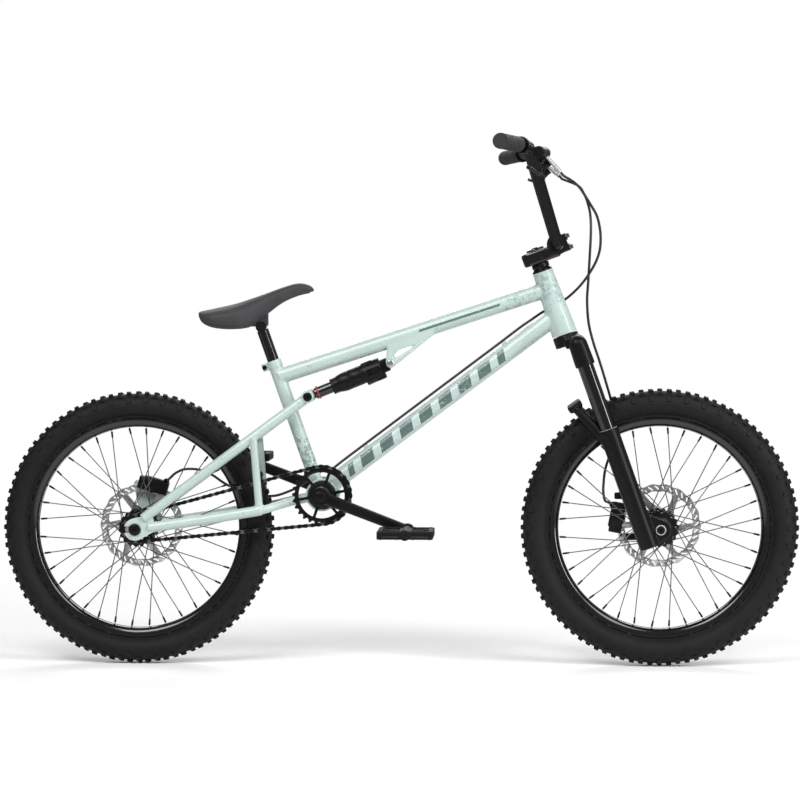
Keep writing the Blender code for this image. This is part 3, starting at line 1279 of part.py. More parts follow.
# Brake hoses, along chosen points of distance ahead of the rear axle, height and side
FRONT_HOSE = [
    (835, 910, 120), (846, 893, 95), (853, 873, 72), (857, 852, 55), (858, 822, 42), (856, 778, 33),
    (853, 726, 31), (851, 690, 33), (854, 648, 39), (863, 611, 45), (874, 578, 51), (885, 543, 56),
    (897, 502, 61), (905, 470, 73), (908, 440, 86), (903, 412, 90), (894, 388, 84), (887, 366, 72),
    (884, 345, 60), (883, 325, 48), (886, 310, 39),
]
REAR_HOSE_HIGH = [
    (822, 909, -145), (835, 898, -118), (845, 884, -95), (855, 869, -75), (867, 849, -55), (873, 827, -38),
    (875, 808, -26), (874, 787, -14), (868, 766, -2), (857, 745, 9), (844, 726, 18), (828, 708, 27),
    (809, 692, 33), (790, 682, 35), (775, 673, 32), (760, 664, 24), (744, 653, 12), (725, 640, 3),
]
REAR_HOSE_LOW = [
    (350, 367, 14), (328, 352, 26), (305, 337, 37), (285, 326, 40), (251, 316, 40), (210, 322, 39),
    (167, 336, 38), (136, 356, 38), (111, 366, 39), (84, 367, 40), (66, 360, 40.35),
]
HOSE_ALONG_TUBE = (700, 650, 600, 550, 500, 450, 410, 376)
HOSE_LIFT = GUIDE_LIFT + GUIDE_HIGH / 2 + GAP + HOSE / 2
SPAN_STEPS = 2


def smooth(points):
    """Points along a smooth curve through the route's own points."""
    path = []
    ends = [points[0] * 2 - points[1], *points, points[-1] * 2 - points[-2]]
    for before, start, end, after in zip(ends, ends[1:], ends[2:], ends[3:]):
        for step in range(SPAN_STEPS):
            t = step / SPAN_STEPS
            path.append(start + ((end - before) * t + (2 * before - 5 * start + 4 * end - after) * t ** 2
                                 + (3 * start - before - 3 * end + after) * t ** 3) / 2)
    return path + [points[-1]]


def banjo(wheel, turn, faces):
    """The centre of a caliper's round hose fitting."""
    axis = Vector((math.sin(turn), 0, math.cos(turn)))
    along = Vector((axis.z, 0, -axis.x))
    return wheel + axis * (ROTOR_DIAMETER / 2 + BANJO_OUT) + along * BANJO_ALONG + SIDE * sum(faces) / 2


def make_hose(name, start, route, fitting, body):
    """A hose from a master's fitting, in its direction, to the round fitting of a caliper."""
    end, direction = start
    away = (route[-1] - fitting) * Vector((1, 0, 1))
    away.normalize()
    straight = [end + direction * (GAP + HOSE * reach) for reach in (0, 1, 2)]
    landing = [fitting + away * (BANJO / 2 + GAP + HOSE * reach) for reach in (1, 0)]
    points = [*straight, *route, *landing]
    return part(name, as_mesh(wire(smooth(points), HOSE), name), SOFT, body)


rear_start = make_brake("right", -1)
front_start = make_brake("left", 1)
front_route = [bar_point(*point) for point in FRONT_HOSE]
front_fitting = banjo(FRONT_CENTRE, FRONT_CALIPER_TURN, FRONT_CALIPER)
make_hose("front_hose", front_start, front_route, front_fitting, "steering")
on_down_tube = [on_tube(DOWN_TUBE_REAR, DOWN_TUBE_AXIS, x, HOSE_LIFT) for x in HOSE_ALONG_TUBE]
rear_route = [place(*p) for p in REAR_HOSE_HIGH] + on_down_tube + [place(*p) for p in REAR_HOSE_LOW]
rear_fitting = banjo(REAR_CENTRE, REAR_CALIPER_TURN, REAR_CALIPER)
make_hose("rear_hose", rear_start, rear_route, rear_fitting, "frame")
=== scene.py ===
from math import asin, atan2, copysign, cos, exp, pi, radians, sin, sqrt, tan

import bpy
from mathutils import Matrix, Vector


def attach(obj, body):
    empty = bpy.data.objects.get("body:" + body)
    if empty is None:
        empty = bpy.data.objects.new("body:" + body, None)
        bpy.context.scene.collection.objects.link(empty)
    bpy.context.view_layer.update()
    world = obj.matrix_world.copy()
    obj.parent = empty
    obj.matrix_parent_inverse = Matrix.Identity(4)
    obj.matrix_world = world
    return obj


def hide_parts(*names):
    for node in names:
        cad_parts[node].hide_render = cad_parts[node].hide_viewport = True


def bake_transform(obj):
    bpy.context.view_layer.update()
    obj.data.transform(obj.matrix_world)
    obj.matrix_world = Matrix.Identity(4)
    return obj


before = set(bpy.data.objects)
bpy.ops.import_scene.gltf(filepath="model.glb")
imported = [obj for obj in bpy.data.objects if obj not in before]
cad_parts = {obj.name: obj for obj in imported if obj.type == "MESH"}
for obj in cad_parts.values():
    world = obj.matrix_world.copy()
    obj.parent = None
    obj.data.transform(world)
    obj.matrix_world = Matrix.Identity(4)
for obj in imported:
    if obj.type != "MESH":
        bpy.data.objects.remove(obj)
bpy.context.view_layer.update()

# %% [markdown]
# The bike was built in CAD first, and its solids are the frame that this scene dresses. Here we
# name the few sizes that many pieces share, in millimetres, so that a maker would recognise them.

MM = 0.001
ORIGIN_X = 495.75
LEAN = radians(19.5)
SIDE = Vector((0, 1, 0))
UP = Vector((-sin(LEAN), 0, cos(LEAN)))
AHEAD = Vector((cos(LEAN), 0, sin(LEAN)))
BOTH = (-1, 1)
RIGHT_LEFT = (("right", -1), ("left", 1))


def vec(x, y, z):
    """A point or direction: ahead, to the left and up."""
    return Vector((x, y, z))


def place(x, z, y=0.0):
    """A point from its distance ahead of the rear axle and its height above the ground."""
    return vec(x - ORIGIN_X, y, z)


def flat(point, y=0.0):
    """The same point seen from the side, at another distance from the middle plane."""
    return vec(point.x, y, point.z)


def upright(axis):
    """The direction across an axis of the middle plane, on its upper side."""
    return vec(-axis.z, 0, axis.x)


REAR = place(0, 259)
FRONT = place(988, 262.5)
CRANK = place(351.58, 323.72)
HEAD = FRONT - 47.6 * AHEAD + 466 * UP
SEAT = CRANK - 5 * vec(1, 0, 0) + 268 * UP


def steer(up, ahead=0.0, y=0.0):
    """A point measured from the middle of the head tube, along and ahead of the steering axis."""
    return HEAD + UP * up + AHEAD * ahead + SIDE * y


def seat(up, ahead=0.0, y=0.0):
    """A point measured from the top of the seat tube, along and ahead of it."""
    return SEAT + UP * up + AHEAD * ahead + SIDE * y


# %% [markdown]
# Everything is shaped with the same few hand tools. These helpers call the operators that a
# modeller would click. Each one deselects everything first, because an operator works on all
# that is selected.

# %% Selecting and editing
def only(*objects):
    """Select just these objects, the first one active."""
    bpy.ops.object.select_all(action="DESELECT")
    for item in objects:
        item.select_set(True)
    bpy.context.view_layer.objects.active = objects[0]


def added(name, data):
    """A new object in the scene."""
    item = bpy.data.objects.new(name, data)
    bpy.context.scene.collection.objects.link(item)
    return item


def settle(item):
    """Put an object's place, turn and scale into its mesh."""
    only(item)
    bpy.ops.object.transform_apply(location=True, rotation=True, scale=True)
    return item


def edited(item, *steps):
    """Use mesh operators, given with their values, on all of an object."""
    only(item)
    bpy.ops.object.mode_set(mode="EDIT")
    bpy.ops.mesh.select_all(action="SELECT")
    for operator, values in steps:
        operator(**values)
    bpy.ops.object.mode_set(mode="OBJECT")
    return item


def modified(item, kind, **settings):
    """Add one modifier and apply it."""
    step = item.modifiers.new("step", kind)
    for key, value in settings.items():
        setattr(step, key, value)
    only(item)
    bpy.ops.object.modifier_apply(modifier=step.name)
    return item


def tidy(item, merge=0.002):
    """Merge double points and turn every face outwards."""
    return edited(item, (bpy.ops.mesh.remove_doubles, {"threshold": merge * MM}),
                  (bpy.ops.mesh.normals_make_consistent, {"inside": False}))


def turned(*directions):
    """The turn that takes X, Y and Z to three directions."""
    return Matrix(directions).transposed().to_4x4()


def stand(item, centre, axis):
    """Turn an object's Z along an axis, move it to its centre and settle it."""
    item.rotation_mode = "QUATERNION"
    item.rotation_quaternion = Vector(axis).to_track_quat("Z", "Y")
    item.location = centre * MM
    return settle(item)

# %% [markdown]
# Most of a bike is round: tubes, bolts, bosses and turned rings. A cone covers every straight bar,
# a cube every milled block, and a profile spun round an axis every turned part, just as a lathe
# would make it.

# %% Simple solids
def rod(start, end, diameter, end_diameter=None, sides=48):
    """A round bar between two points, or a cone."""
    axis = end - start
    far = diameter if end_diameter is None else end_diameter
    bpy.ops.mesh.primitive_cone_add(vertices=sides, radius1=diameter / 2 * MM, radius2=far / 2 * MM,
                                    depth=axis.length * MM)
    return stand(bpy.context.object, (start + end) / 2, axis)


def cross_rod(centre, low, high, diameter, end_diameter=None, sides=48):
    """A round bar across the bike between two distances from its middle plane."""
    return rod(flat(centre, low), flat(centre, high), diameter, end_diameter, sides)


def through(centre, half, diameter, sides=48):
    """A round bar that goes across the bike by the same distance on both sides."""
    return cross_rod(centre, -half, half, diameter, sides=sides)


def block(centre, sizes, ahead=vec(1, 0, 0), side=SIDE, edge=0.0):
    """A box whose first two sizes run along two directions, its edges bevelled."""
    bpy.ops.mesh.primitive_cube_add(size=MM)
    item = bpy.context.object
    item.scale = sizes
    settle(item)
    if edge:
        edited(item, (bpy.ops.mesh.bevel, {"offset": edge * MM, "segments": 3, "affect": "EDGES"}))
    item.matrix_world = Matrix.Translation(centre * MM) @ turned(ahead, side, ahead.cross(side))
    return settle(item)


def ball(centre, diameter, sides=24):
    """A sphere at a point."""
    bpy.ops.mesh.primitive_uv_sphere_add(segments=sides, ring_count=sides // 2,
                                         radius=diameter / 2 * MM, location=centre * MM)
    return settle(bpy.context.object)


def meshed(name, points, links=(), faces=()):
    """An object from points in millimetres and the edges or faces between them."""
    mesh = bpy.data.meshes.new(name)
    mesh.from_pydata([Vector(p) * MM for p in points], links, faces)
    return added(name, mesh)


def spun(profile, centre, axis=SIDE, steps=64):
    """A closed profile of (diameter, height) points spun round an axis."""
    count = len(profile)
    item = meshed("spun", [(d / 2, 0, h) for d, h in profile], [(i, (i + 1) % count) for i in range(count)])
    edited(item, (bpy.ops.mesh.spin, {"steps": steps, "angle": 2 * pi, "center": (0, 0, 0), "axis": (0, 0, 1)}))
    return stand(tidy(item), centre, axis)

# %% [markdown]
# Flat plates are drawn as curves and given a thickness, as sheet is cut. Bent tubes and hoses are
# curves with a round section. Their lines come either through all points or with rounded corners.

# %% Plates, tubes and lines
def as_mesh(item, merge=0.002):
    """Turn a curve into a mesh."""
    only(item)
    bpy.ops.object.convert(target="MESH")
    return tidy(settle(item), merge)


def poly(curve, points):
    """A new line of a curve, through points."""
    spline = curve.splines.new("POLY")
    spline.points.add(len(points) - 1)
    for target, source in zip(spline.points, points):
        target.co = (*(source * MM), 1)
    return spline


def sheet(outlines, low, high, edge=0.0):
    """A plate parallel to the middle plane: its edge first, then its windows."""
    curve = bpy.data.curves.new("sheet", "CURVE")
    curve.dimensions = "2D"
    curve.fill_mode = "BOTH"
    curve.extrude = ((high - low) / 2 - edge) * MM
    curve.bevel_depth = edge * MM
    curve.offset = -edge * MM
    curve.bevel_resolution = 1
    for outline in outlines:
        poly(curve, [vec(p.x, p.z, 0) for p in outline]).use_cyclic_u = True
    item = added("sheet", curve)
    item.rotation_euler = (pi / 2, 0, 0)
    item.location = (0, (low + high) / 2 * MM, 0)
    return as_mesh(item, 0.01)


def tube(points, diameter, resolution=6, sizes=None):
    """A round tube along points, its ends closed; sizes are shares of the diameter."""
    curve = bpy.data.curves.new("tube", "CURVE")
    curve.dimensions = "3D"
    curve.bevel_depth = diameter / 2 * MM
    curve.bevel_resolution = resolution
    curve.use_fill_caps = True
    spline = poly(curve, points)
    for index, point in enumerate(spline.points):
        point.radius = sizes[index] if sizes else 1.0
    return as_mesh(added("tube", curve))


def smooth(points, steps=8):
    """Points along a smooth curve through the given ones."""
    path = []
    ends = [points[0] * 2 - points[1], *points, points[-1] * 2 - points[-2]]
    for before, start, end, after in zip(ends, ends[1:], ends[2:], ends[3:]):
        for step in range(steps):
            t = step / steps
            path.append(0.5 * (2 * start + (end - before) * t
                               + (2 * before - 5 * start + 4 * end - after) * t ** 2
                               + (3 * start - before - 3 * end + after) * t ** 3))
    return path + [points[-1]]


def rounded(points, radius, steps=10):
    """The points with each inner corner turned into an arc."""
    path = [points[0]]
    for before, corner, after in zip(points, points[1:], points[2:]):
        back = (before - corner).normalized()
        on = (after - corner).normalized()
        room = 0.48 * min((before - corner).length, (after - corner).length)
        reach = min(radius / tan(back.angle(on) / 2), room)
        start, end = corner + back * reach, corner + on * reach
        for step in range(steps + 1):
            t = step / steps
            path.append(start * (1 - t) ** 2 + corner * 2 * t * (1 - t) + end * t ** 2)
    return path + [points[-1]]

# %% [markdown]
# Pieces that are welded or cast are united and melted with a voxel remesh, which fills their
# inner corners. Machined ones are united and bevelled, which keeps them crisp. A piece that is
# done is named, shaded and given to the body that it moves with.

# %% Joining, rounding and fitting
def join(*items):
    """Make several objects one object, their skins left as they are."""
    only(*items)
    if len(items) > 1:
        bpy.ops.object.join()
    return bpy.context.object


def united(base, adds=(), cuts=()):
    """Join shapes to a base and cut others from it."""
    for operation, tools in (("UNION", adds), ("DIFFERENCE", cuts)):
        if not tools:
            continue
        group = bpy.data.collections.new("tools")
        bpy.context.scene.collection.children.link(group)
        for tool in tools:
            group.objects.link(tool)
        modified(base, "BOOLEAN", operation=operation, operand_type="COLLECTION", collection=group)
        for tool in tools:
            bpy.data.objects.remove(tool, do_unlink=True)
        bpy.data.collections.remove(group)
    return base


def cast(item, voxel=1.2, rounds=4):
    """Melt a joined shape into one skin, so that its inner corners fill like a weld or a casting."""
    modified(item, "REMESH", mode="VOXEL", voxel_size=voxel * MM)
    return modified(item, "SMOOTH", factor=0.5, iterations=rounds)


def edged(item, width=0.5, segments=2):
    """Round the sharp edges of a machined piece."""
    return modified(item, "BEVEL", width=width * MM, segments=segments, limit_method="ANGLE",
                    angle_limit=radians(40))


def fit(item, name, body, material, *nodes, slot=None, angle=40):
    """Name a finished piece, shade it, and let it stand for its CAD nodes on their body."""
    item.name = name
    only(item)
    bpy.ops.object.shade_smooth_by_angle(angle=radians(angle))
    item.data.materials.clear()
    item.data.materials.append(material)
    if body:
        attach(item, body)
    if nodes:
        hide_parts(*nodes)
    print(name, len(item.data.polygons), "faces")
    return item

# %% [markdown]
# Paint, black metal, rubber and steel all gather the same small flaws: a slight change of tone
# from place to place, fine unevenness in the surface, and a paler film of dust. One shader group
# makes these for every finish. It puts out a colour, a roughness and a normal, and each material
# keeps its own Principled shader.

# %% A group for uneven surfaces
def sockets(tree, way, kind, **values):
    """A group's inputs or outputs of one kind, with their first values."""
    for label, value in values.items():
        made = tree.interface.new_socket(name=label.replace("_", " "), in_out=way,
                                         socket_type="NodeSocket" + kind)
        if value is not None:
            made.default_value = value


def feed(tree, made, *ordered, **named):
    """Set a node's inputs, in order or by name, to values or link them to sockets."""
    targets = [(made.inputs[key.replace("_", " ")], value) for key, value in named.items()]
    for target, value in [*zip(made.inputs, ordered), *targets]:
        if isinstance(value, bpy.types.NodeSocket):
            tree.links.new(value, target)
        else:
            target.default_value = value
    return made


def node(tree, kind, *ordered, **named):
    """A shader node; names with a leading _ are settings, the others inputs."""
    made = tree.nodes.new("ShaderNode" + kind)
    for key in [key for key in named if key.startswith("_")]:
        setattr(made, key[1:], named.pop(key))
    return feed(tree, made, *ordered, **named)


def maths(tree, operation, *values):
    """The result of a maths node."""
    return node(tree, "Math", *values, _operation=operation).outputs[0]


def noise(tree, where, scale, detail=3.0, rough=0.6):
    """The grey value of a noise texture."""
    return node(tree, "TexNoise", Vector=where, Scale=scale, Detail=detail, Roughness=rough).outputs["Fac"]


surface = bpy.data.node_groups.new("uneven_surface", "ShaderNodeTree")
sockets(surface, "INPUT", "Color", Colour=(0.5, 0.5, 0.5, 1), Dust=(0.5, 0.48, 0.45, 1))
sockets(surface, "INPUT", "Float", Roughness=0.4, Tone=0.1, Dust_amount=0.05, Grain_size=900.0, Grain_height=0.05)
sockets(surface, "OUTPUT", "Color", Colour=None)
sockets(surface, "OUTPUT", "Float", Roughness=None)
sockets(surface, "OUTPUT", "Vector", Normal=None)
given = surface.nodes.new("NodeGroupInput").outputs
where = node(surface, "TexCoord").outputs["Object"]
clouds, film = noise(surface, where, 14.0, 4.0, 0.5), noise(surface, where, 38.0, 6.0, 0.7)
grain = noise(surface, where, given["Grain size"], 2.0, 0.5)
tone = node(surface, "MapRange", clouds, 0.3, 0.7, -1.0, 1.0).outputs["Result"]
level = maths(surface, "ADD", maths(surface, "MULTIPLY", tone, given["Tone"]), 1.0)
toned = node(surface, "VectorMath", given["Colour"], Scale=level, _operation="SCALE").outputs["Vector"]
patches = node(surface, "MapRange", film, 0.45, 0.75).outputs["Result"]
dust = maths(surface, "MULTIPLY", patches, given["Dust amount"])
bump = node(surface, "Bump", Distance=0.0002, Height=grain, Strength=given["Grain height"])
feed(surface, surface.nodes.new("NodeGroupOutput"),
     Colour=node(surface, "MixRGB", dust, toned, given["Dust"]).outputs["Color"],
     Roughness=maths(surface, "MULTIPLY_ADD", dust, 0.5, given["Roughness"]), Normal=bump.outputs["Normal"])
print("group", surface.name, "with", len(surface.nodes), "nodes")

# %% [markdown]
# Each finish on the bike is its own material: pale green paint under clear lacquer, satin and
# gloss black metal, bare steel, tyre rubber, soft rubber, moulded plastic and the saddle's cover.
# They differ in colour, roughness and grain.

# %% The finishes
def finish(name, colour, roughness, metallic=0.0, tone=0.08, dust=0.04, grain_size=900.0,
           grain_height=0.05, coat=0.0, specular=0.5):
    """A material that reads the uneven surface group."""
    made = bpy.data.materials.new(name)
    made.use_nodes = True
    group = node(made.node_tree, "Group", _node_tree=surface, Colour=(*colour, 1), Roughness=roughness, Tone=tone,
                 Dust_amount=dust, Grain_size=grain_size, Grain_height=grain_height).outputs
    feed(made.node_tree, made.node_tree.nodes["Principled BSDF"], Metallic=metallic, Specular_IOR_Level=specular,
         Coat_Weight=coat, Coat_Roughness=0.1, Base_Color=group["Colour"], Roughness=group["Roughness"],
         Normal=group["Normal"])
    return made


DARK = (0.006, 0.006, 0.0065)
PAINT = finish("pale_green_paint", (0.455, 0.56, 0.53), 0.34, tone=0.03, dust=0.01, grain_size=420,
               coat=0.25)
SATIN = finish("satin_black_metal", (0.0045, 0.0045, 0.005), 0.36, tone=0.15, dust=0.004, specular=0.17)
ALLOY = finish("black_anodised_alloy", (0.004, 0.004, 0.0045), 0.32, tone=0.15, dust=0.004,
               specular=0.2)
GLOSS = finish("gloss_black_metal", (0.003, 0.003, 0.0035), 0.14, tone=0.1, dust=0.004,
               grain_height=0.02, coat=0.3)
STEEL = finish("bare_steel", (0.56, 0.56, 0.57), 0.30, metallic=1.0, dust=0.05, grain_size=1500)
DARK_STEEL = finish("dark_steel", (0.13, 0.13, 0.132), 0.36, metallic=0.9, tone=0.2, dust=0.02)
TYRE = finish("tyre_rubber", DARK, 0.66, tone=0.2, dust=0.006, grain_size=1300, grain_height=0.2,
              specular=0.22)
SOFT = finish("soft_black_rubber", (0.024, 0.024, 0.026), 0.6, tone=0.12, dust=0.03, grain_height=0.15,
              specular=0.3)
PLASTIC = finish("moulded_plastic", DARK, 0.48, tone=0.1, dust=0.008, grain_size=1800,
                 grain_height=0.3, specular=0.15)
COVER = finish("saddle_cover", (0.034, 0.034, 0.037), 0.62, tone=0.12, dust=0.02, grain_size=1500,
               grain_height=0.45, specular=0.35)
RED = finish("red_rubber", (0.30, 0.03, 0.035), 0.45, tone=0.1, dust=0.02)
GREY = finish("light_grey_metal", (0.42, 0.43, 0.43), 0.35, metallic=0.6, tone=0.06)
HOSE_SKIN = finish("hose_skin", DARK, 0.4, dust=0.02)
print(len(bpy.data.materials), "finishes")

# %% [markdown]
# A bmx tyre of this kind has a round casing with a smooth sidewall, and square rubber knobs all
# round: two rows on each half of the crown and a row of low ones on the shoulder. The casing is
# turned from its profile, then one knob of each kind is made and set round the wheel.

# %% Tyres and rims
TYRE_HALF = 28.0
CASING_WALL = 1.4
TREAD_DEPTH = 4.6
BEAD_RADIUS = 207.0
KNOBS = 46
# Each row's angles from the crown, then the knob's length, height and skew, and its steps round.
KNOB_ROWS = ((4, 24, 9.6, 4.4, 0.8, 0), (31, 48, 8.8, 4.0, 0.0, 1), (55, 76, 9.4, 2.4, 0.0, 0))


def ring_of(item, count, centre, phase=0.0):
    """Copies of a piece round the wheel's axis, joined into one piece."""
    there = Matrix.Translation(centre * MM)
    copies = [item]
    for index in range(1, count):
        only(item)
        bpy.ops.object.duplicate()
        twin = bpy.context.object
        twin.matrix_world = there @ Matrix.Rotation(2 * pi * index / count, 4, "Y") @ there.inverted()
        copies.append(twin)
    ring = join(*copies)
    if phase:
        ring.matrix_world = there @ Matrix.Rotation(phase, 4, "Y") @ there.inverted()
    return settle(ring)


def casing_point(radius, angle, lift=0.0):
    """A point of the tyre's cross section, its angle measured from the crown: (across, out)."""
    casing = radius - TREAD_DEPTH
    middle = (casing + BEAD_RADIUS) / 2 + 1.0
    return (TYRE_HALF - CASING_WALL + lift) * sin(angle), middle + (casing - middle + lift) * cos(angle)


def knob(centre, radius, low, high, length, tall, skew):
    """One tread block between two angles of the casing's section, at the top of the wheel."""
    corners = []
    for angle, shift in ((low, -skew), (high, skew)):
        for along in (-0.5, 0.5):
            for lift, taper in ((-1.2, 1.06), (tall, 0.84)):
                across, out = casing_point(radius, angle, lift)
                middle, _ = casing_point(radius, (low + high) / 2, lift)
                across = middle + (across - middle) * taper
                corners.append(vec(along * length * taper + shift, across, out) + centre)
    return edged(edited(meshed("knob", corners), (bpy.ops.mesh.convex_hull, {})), 0.35, 1)


def make_tyre(name, centre, radius, body):
    """The casing, turned from its profile, and three rings of knobs on each side."""
    profile = []
    for step in range(-13, 14):
        across, out = casing_point(radius, radians(step * 11.2))
        profile.append((2 * out, across))
    profile += [(412, 15.6), (407, 13.6), (407, -13.6), (412, -15.6)]
    pieces = [spun(profile, centre, steps=112)]
    for side in BOTH:
        for low, high, length, tall, skew, steps in KNOB_ROWS:
            one = knob(centre, radius, side * radians(low), side * radians(high), length, tall, skew)
            pieces.append(ring_of(one, KNOBS, centre, (steps + (side < 0)) * pi / KNOBS))
    fit(join(*pieces), name + "_visual", body, TYRE, name, angle=35)


def mirrored(profile):
    """A profile's points in return order, on the other side."""
    return [(diameter, -height) for diameter, height in reversed(profile)]


def make_rim(name, centre, body):
    """A rim turned from the bead seats and the well below them."""
    seats = [(418, 16), (415, 16), (412, 14.4), (406, 14.1), (399, 11)]
    well = [(409, -16), (396, -14.6), (386.5, -11), (383, -6.5)]
    profile = seats + mirrored(seats) + well + [(381.6, 0)] + mirrored(well)
    fit(spun(profile, centre, steps=128), name + "_visual", body, GLOSS, name, angle=50)


for end, centre, radius in (("rear", REAR, 259.0), ("front", FRONT, 262.5)):
    make_tyre(end + "_tyre", centre, radius, end + "_wheel")
    make_rim(end + "_rim", centre, end + "_wheel")

# %% [markdown]
# A spoked wheel's hub has two flanges with 18 spokes each. Every spoke leaves its flange almost
# along a tangent, crosses its neighbours and ends in a nipple at the rim. On this bike the spokes
# are dark steel and the nipples black.

# %% Hubs, spokes and nipples
SPOKES = 18
SPOKE_CIRCLE, NIPPLE_CIRCLE, SCALLOP_CIRCLE = 29.0, 190.0, 35.6


def on_wheel(centre, radius, angle, y=0.0):
    """A point round an axis across the bike, its angle measured up from straight ahead."""
    return vec(centre.x + radius * cos(angle), y, centre.z + radius * sin(angle))


def spoke_angles(side, later=0.0):
    """Where the spokes of one flange start; later is a share of the way to the next one."""
    shift = later + (0.5 if side > 0 else 0)
    return [pi / 32 + 2 * pi / SPOKES * (index + shift) for index in range(SPOKES)]


def make_spokes(centre, flanges):
    """The spokes and the nipples of one wheel, laced as in the CAD."""
    spokes, nipples = [], []
    for side, flange in zip(BOTH, flanges):
        for index, angle in enumerate(spoke_angles(side)):
            lean = 1 if index % 2 else -1
            near = on_wheel(centre, SPOKE_CIRCLE, angle, flange + lean * 2.4)
            far = on_wheel(centre, NIPPLE_CIRCLE, angle + lean * radians(60), side * 3.0)
            back = (near - far).normalized()
            spokes += [rod(near, far, 2.0, sides=10), ball(near, 3.6, 8)]
            nipples.append(rod(far + back * 13, far + back * 1.5, 3.4, 4.2, sides=10))
    return join(*spokes), join(*nipples)


def make_hub(end, centre, profile, flanges):
    """A hub shell turned from its outer profile, with scalloped flanges."""
    holes = [cross_rod(on_wheel(centre, SCALLOP_CIRCLE, angle), flange - 6, flange + 6, 6.2, sides=12)
             for side, flange in zip(BOTH, flanges) for angle in spoke_angles(side, 0.5)]
    shell = united(spun(profile, centre), cuts=holes)
    fit(edged(shell, 0.3, 1), end + "_hub_shell", end + "_wheel", ALLOY)
    spokes, nipples = make_spokes(centre, flanges)
    fit(nipples, end + "_nipples", end + "_wheel", ALLOY)
    fit(spokes, end + "_spokes", end + "_wheel", DARK_STEEL, end + "_laced_hub")


make_hub("rear", REAR, [(22, 54), (22, 42), (34, 42), (34, 40), (36, 38.2), (52, 38.2), (52, 33), (56, 31),
                        (70, 30), (70, 26), (58, 25), (46, 20), (43, 0), (46, -20), (58, -25), (70, -26),
                        (70, -30), (56, -31), (42, -33), (25, -34), (25, -54), (13, -54), (13, 54)], (-28, 28))
make_hub("front", FRONT, [(26, 49.2), (27, 37), (33, 36.4), (36, 33), (52, 33), (52, 28), (58, 25), (70, 24),
                          (70, 20), (58, 19), (46, 14), (44, -3), (46, -20), (58, -25), (70, -26), (70, -30),
                          (58, -31), (44, -32), (32, -35), (27, -49.2), (16, -49.2), (16, 49.2)], (-28, 22))

# %% [markdown]
# A brake rotor is laser cut from stainless sheet: a wavy braking band with slanted slots, carried
# by six slim arms. The outline and its windows are drawn flat and given their thickness, so the
# sheet keeps its crisp edge.

# %% Brake rotors
ROTOR_WAVES = 18
BOLT_CIRCLE = 22.0
REAR_ROTOR_Y, FRONT_ROTOR_Y = 39.7, 34.7


def arc(centre, radius, start, end, steps):
    """Points along a part of a circle."""
    return [on_wheel(centre, radius, start + (end - start) * i / steps) for i in range(steps + 1)]


def disc(centre, radius, steps):
    """The points of a full circle."""
    return arc(centre, radius, 0, 2 * pi * (steps - 1) / steps, steps - 1)


def wavy(centre, radius, height, angles):
    """A line round the wheel that rises and falls with the rotor's edge."""
    return [on_wheel(centre, radius + height * cos(ROTOR_WAVES * angle), angle) for angle in angles]


def slanted_slot(centre, inner, outer, angle, lean, width):
    """A slot across the braking band: two long sides and rounded ends."""
    low, high = on_wheel(centre, inner, angle), on_wheel(centre, outer, angle + lean)
    along = (high - low).normalized()
    points = []
    for middle, sign in ((high, 1), (low, -1)):
        for step in range(5):
            turn = pi / 2 * (1 - step / 2)
            points.append(middle + (upright(along) * sin(turn) + along * cos(turn)) * sign * width / 2)
    return points


def make_rotor(end, centre, y):
    """A rotor cut from its outline and windows, and its six bolts."""
    windows = []
    for index in range(6):
        start, stop = radians(60 * index + 5), radians(60 * index + 55)
        outer = wavy(centre, 65.2, 0.8, [start + (stop - start) * i / 24 for i in range(25)])
        windows.append(outer + arc(centre, 27.5, stop - radians(26), start - radians(4), 10))
    windows += [slanted_slot(centre, 69.0, 75.0, radians(10 * i), radians(5), 2.6) for i in range(36)]
    spots = [on_wheel(centre, BOLT_CIRCLE, radians(60 * index)) for index in range(6)]
    outline = wavy(centre, 78.9, 1.0, [2 * pi * i / 288 for i in range(288)])
    plate = sheet([outline, *windows, disc(centre, 17.6, 32), *[disc(spot, 1.6, 12) for spot in spots]],
                  y - 0.9, y + 0.9, 0.12)
    fit(plate, end + "_rotor_visual", end + "_wheel", STEEL, end + "_rotor", angle=30)
    bolts = [united(cross_rod(spot, y + 0.8, y + 3.0, 6.6, 5.6, sides=24),
                    cuts=[cross_rod(spot, y + 2.0, y + 4, 3.2, sides=6)]) for spot in spots]
    fit(join(*bolts), end + "_rotor_bolts", end + "_wheel", STEEL)


make_rotor("rear", REAR, REAR_ROTOR_Y)
make_rotor("front", FRONT, FRONT_ROTOR_Y)

# %% [markdown]
# The frame wears a printed decoration under its lacquer. Here it is a plain row of slanted dark
# green bars on the down tube, a thin line on the top tube, and speckled patches round the head
# tube and low on the seat tube. A shader group measures each point along and across a tube and
# puts out the mask of the print.

# %% Printed bars on the paint
marks = bpy.data.node_groups.new("slanted_bars", "ShaderNodeTree")
sockets(marks, "INPUT", "Vector", Start=None, Axis=None, Up=None)
sockets(marks, "INPUT", "Float", From=0.05, To=0.4, Pitch=0.04, Half_height=0.01, Fill=0.6)
sockets(marks, "OUTPUT", "Float", Mask=None)
given = marks.nodes.new("NodeGroupInput").outputs
where = node(marks, "TexCoord").outputs["Object"]
offset = node(marks, "VectorMath", where, given["Start"], _operation="SUBTRACT").outputs[0]
out, up = (node(marks, "VectorMath", offset, given[label], _operation="DOT_PRODUCT").outputs["Value"]
           for label in ("Axis", "Up"))
ragged = maths(marks, "MULTIPLY", maths(marks, "SUBTRACT", noise(marks, where, 260.0), 0.5), 0.0015)
slanted = maths(marks, "SUBTRACT", out, maths(marks, "MULTIPLY", up, 0.45))
along = maths(marks, "ADD", slanted, ragged)
beat = maths(marks, "FRACT", maths(marks, "DIVIDE", along, given["Pitch"]))
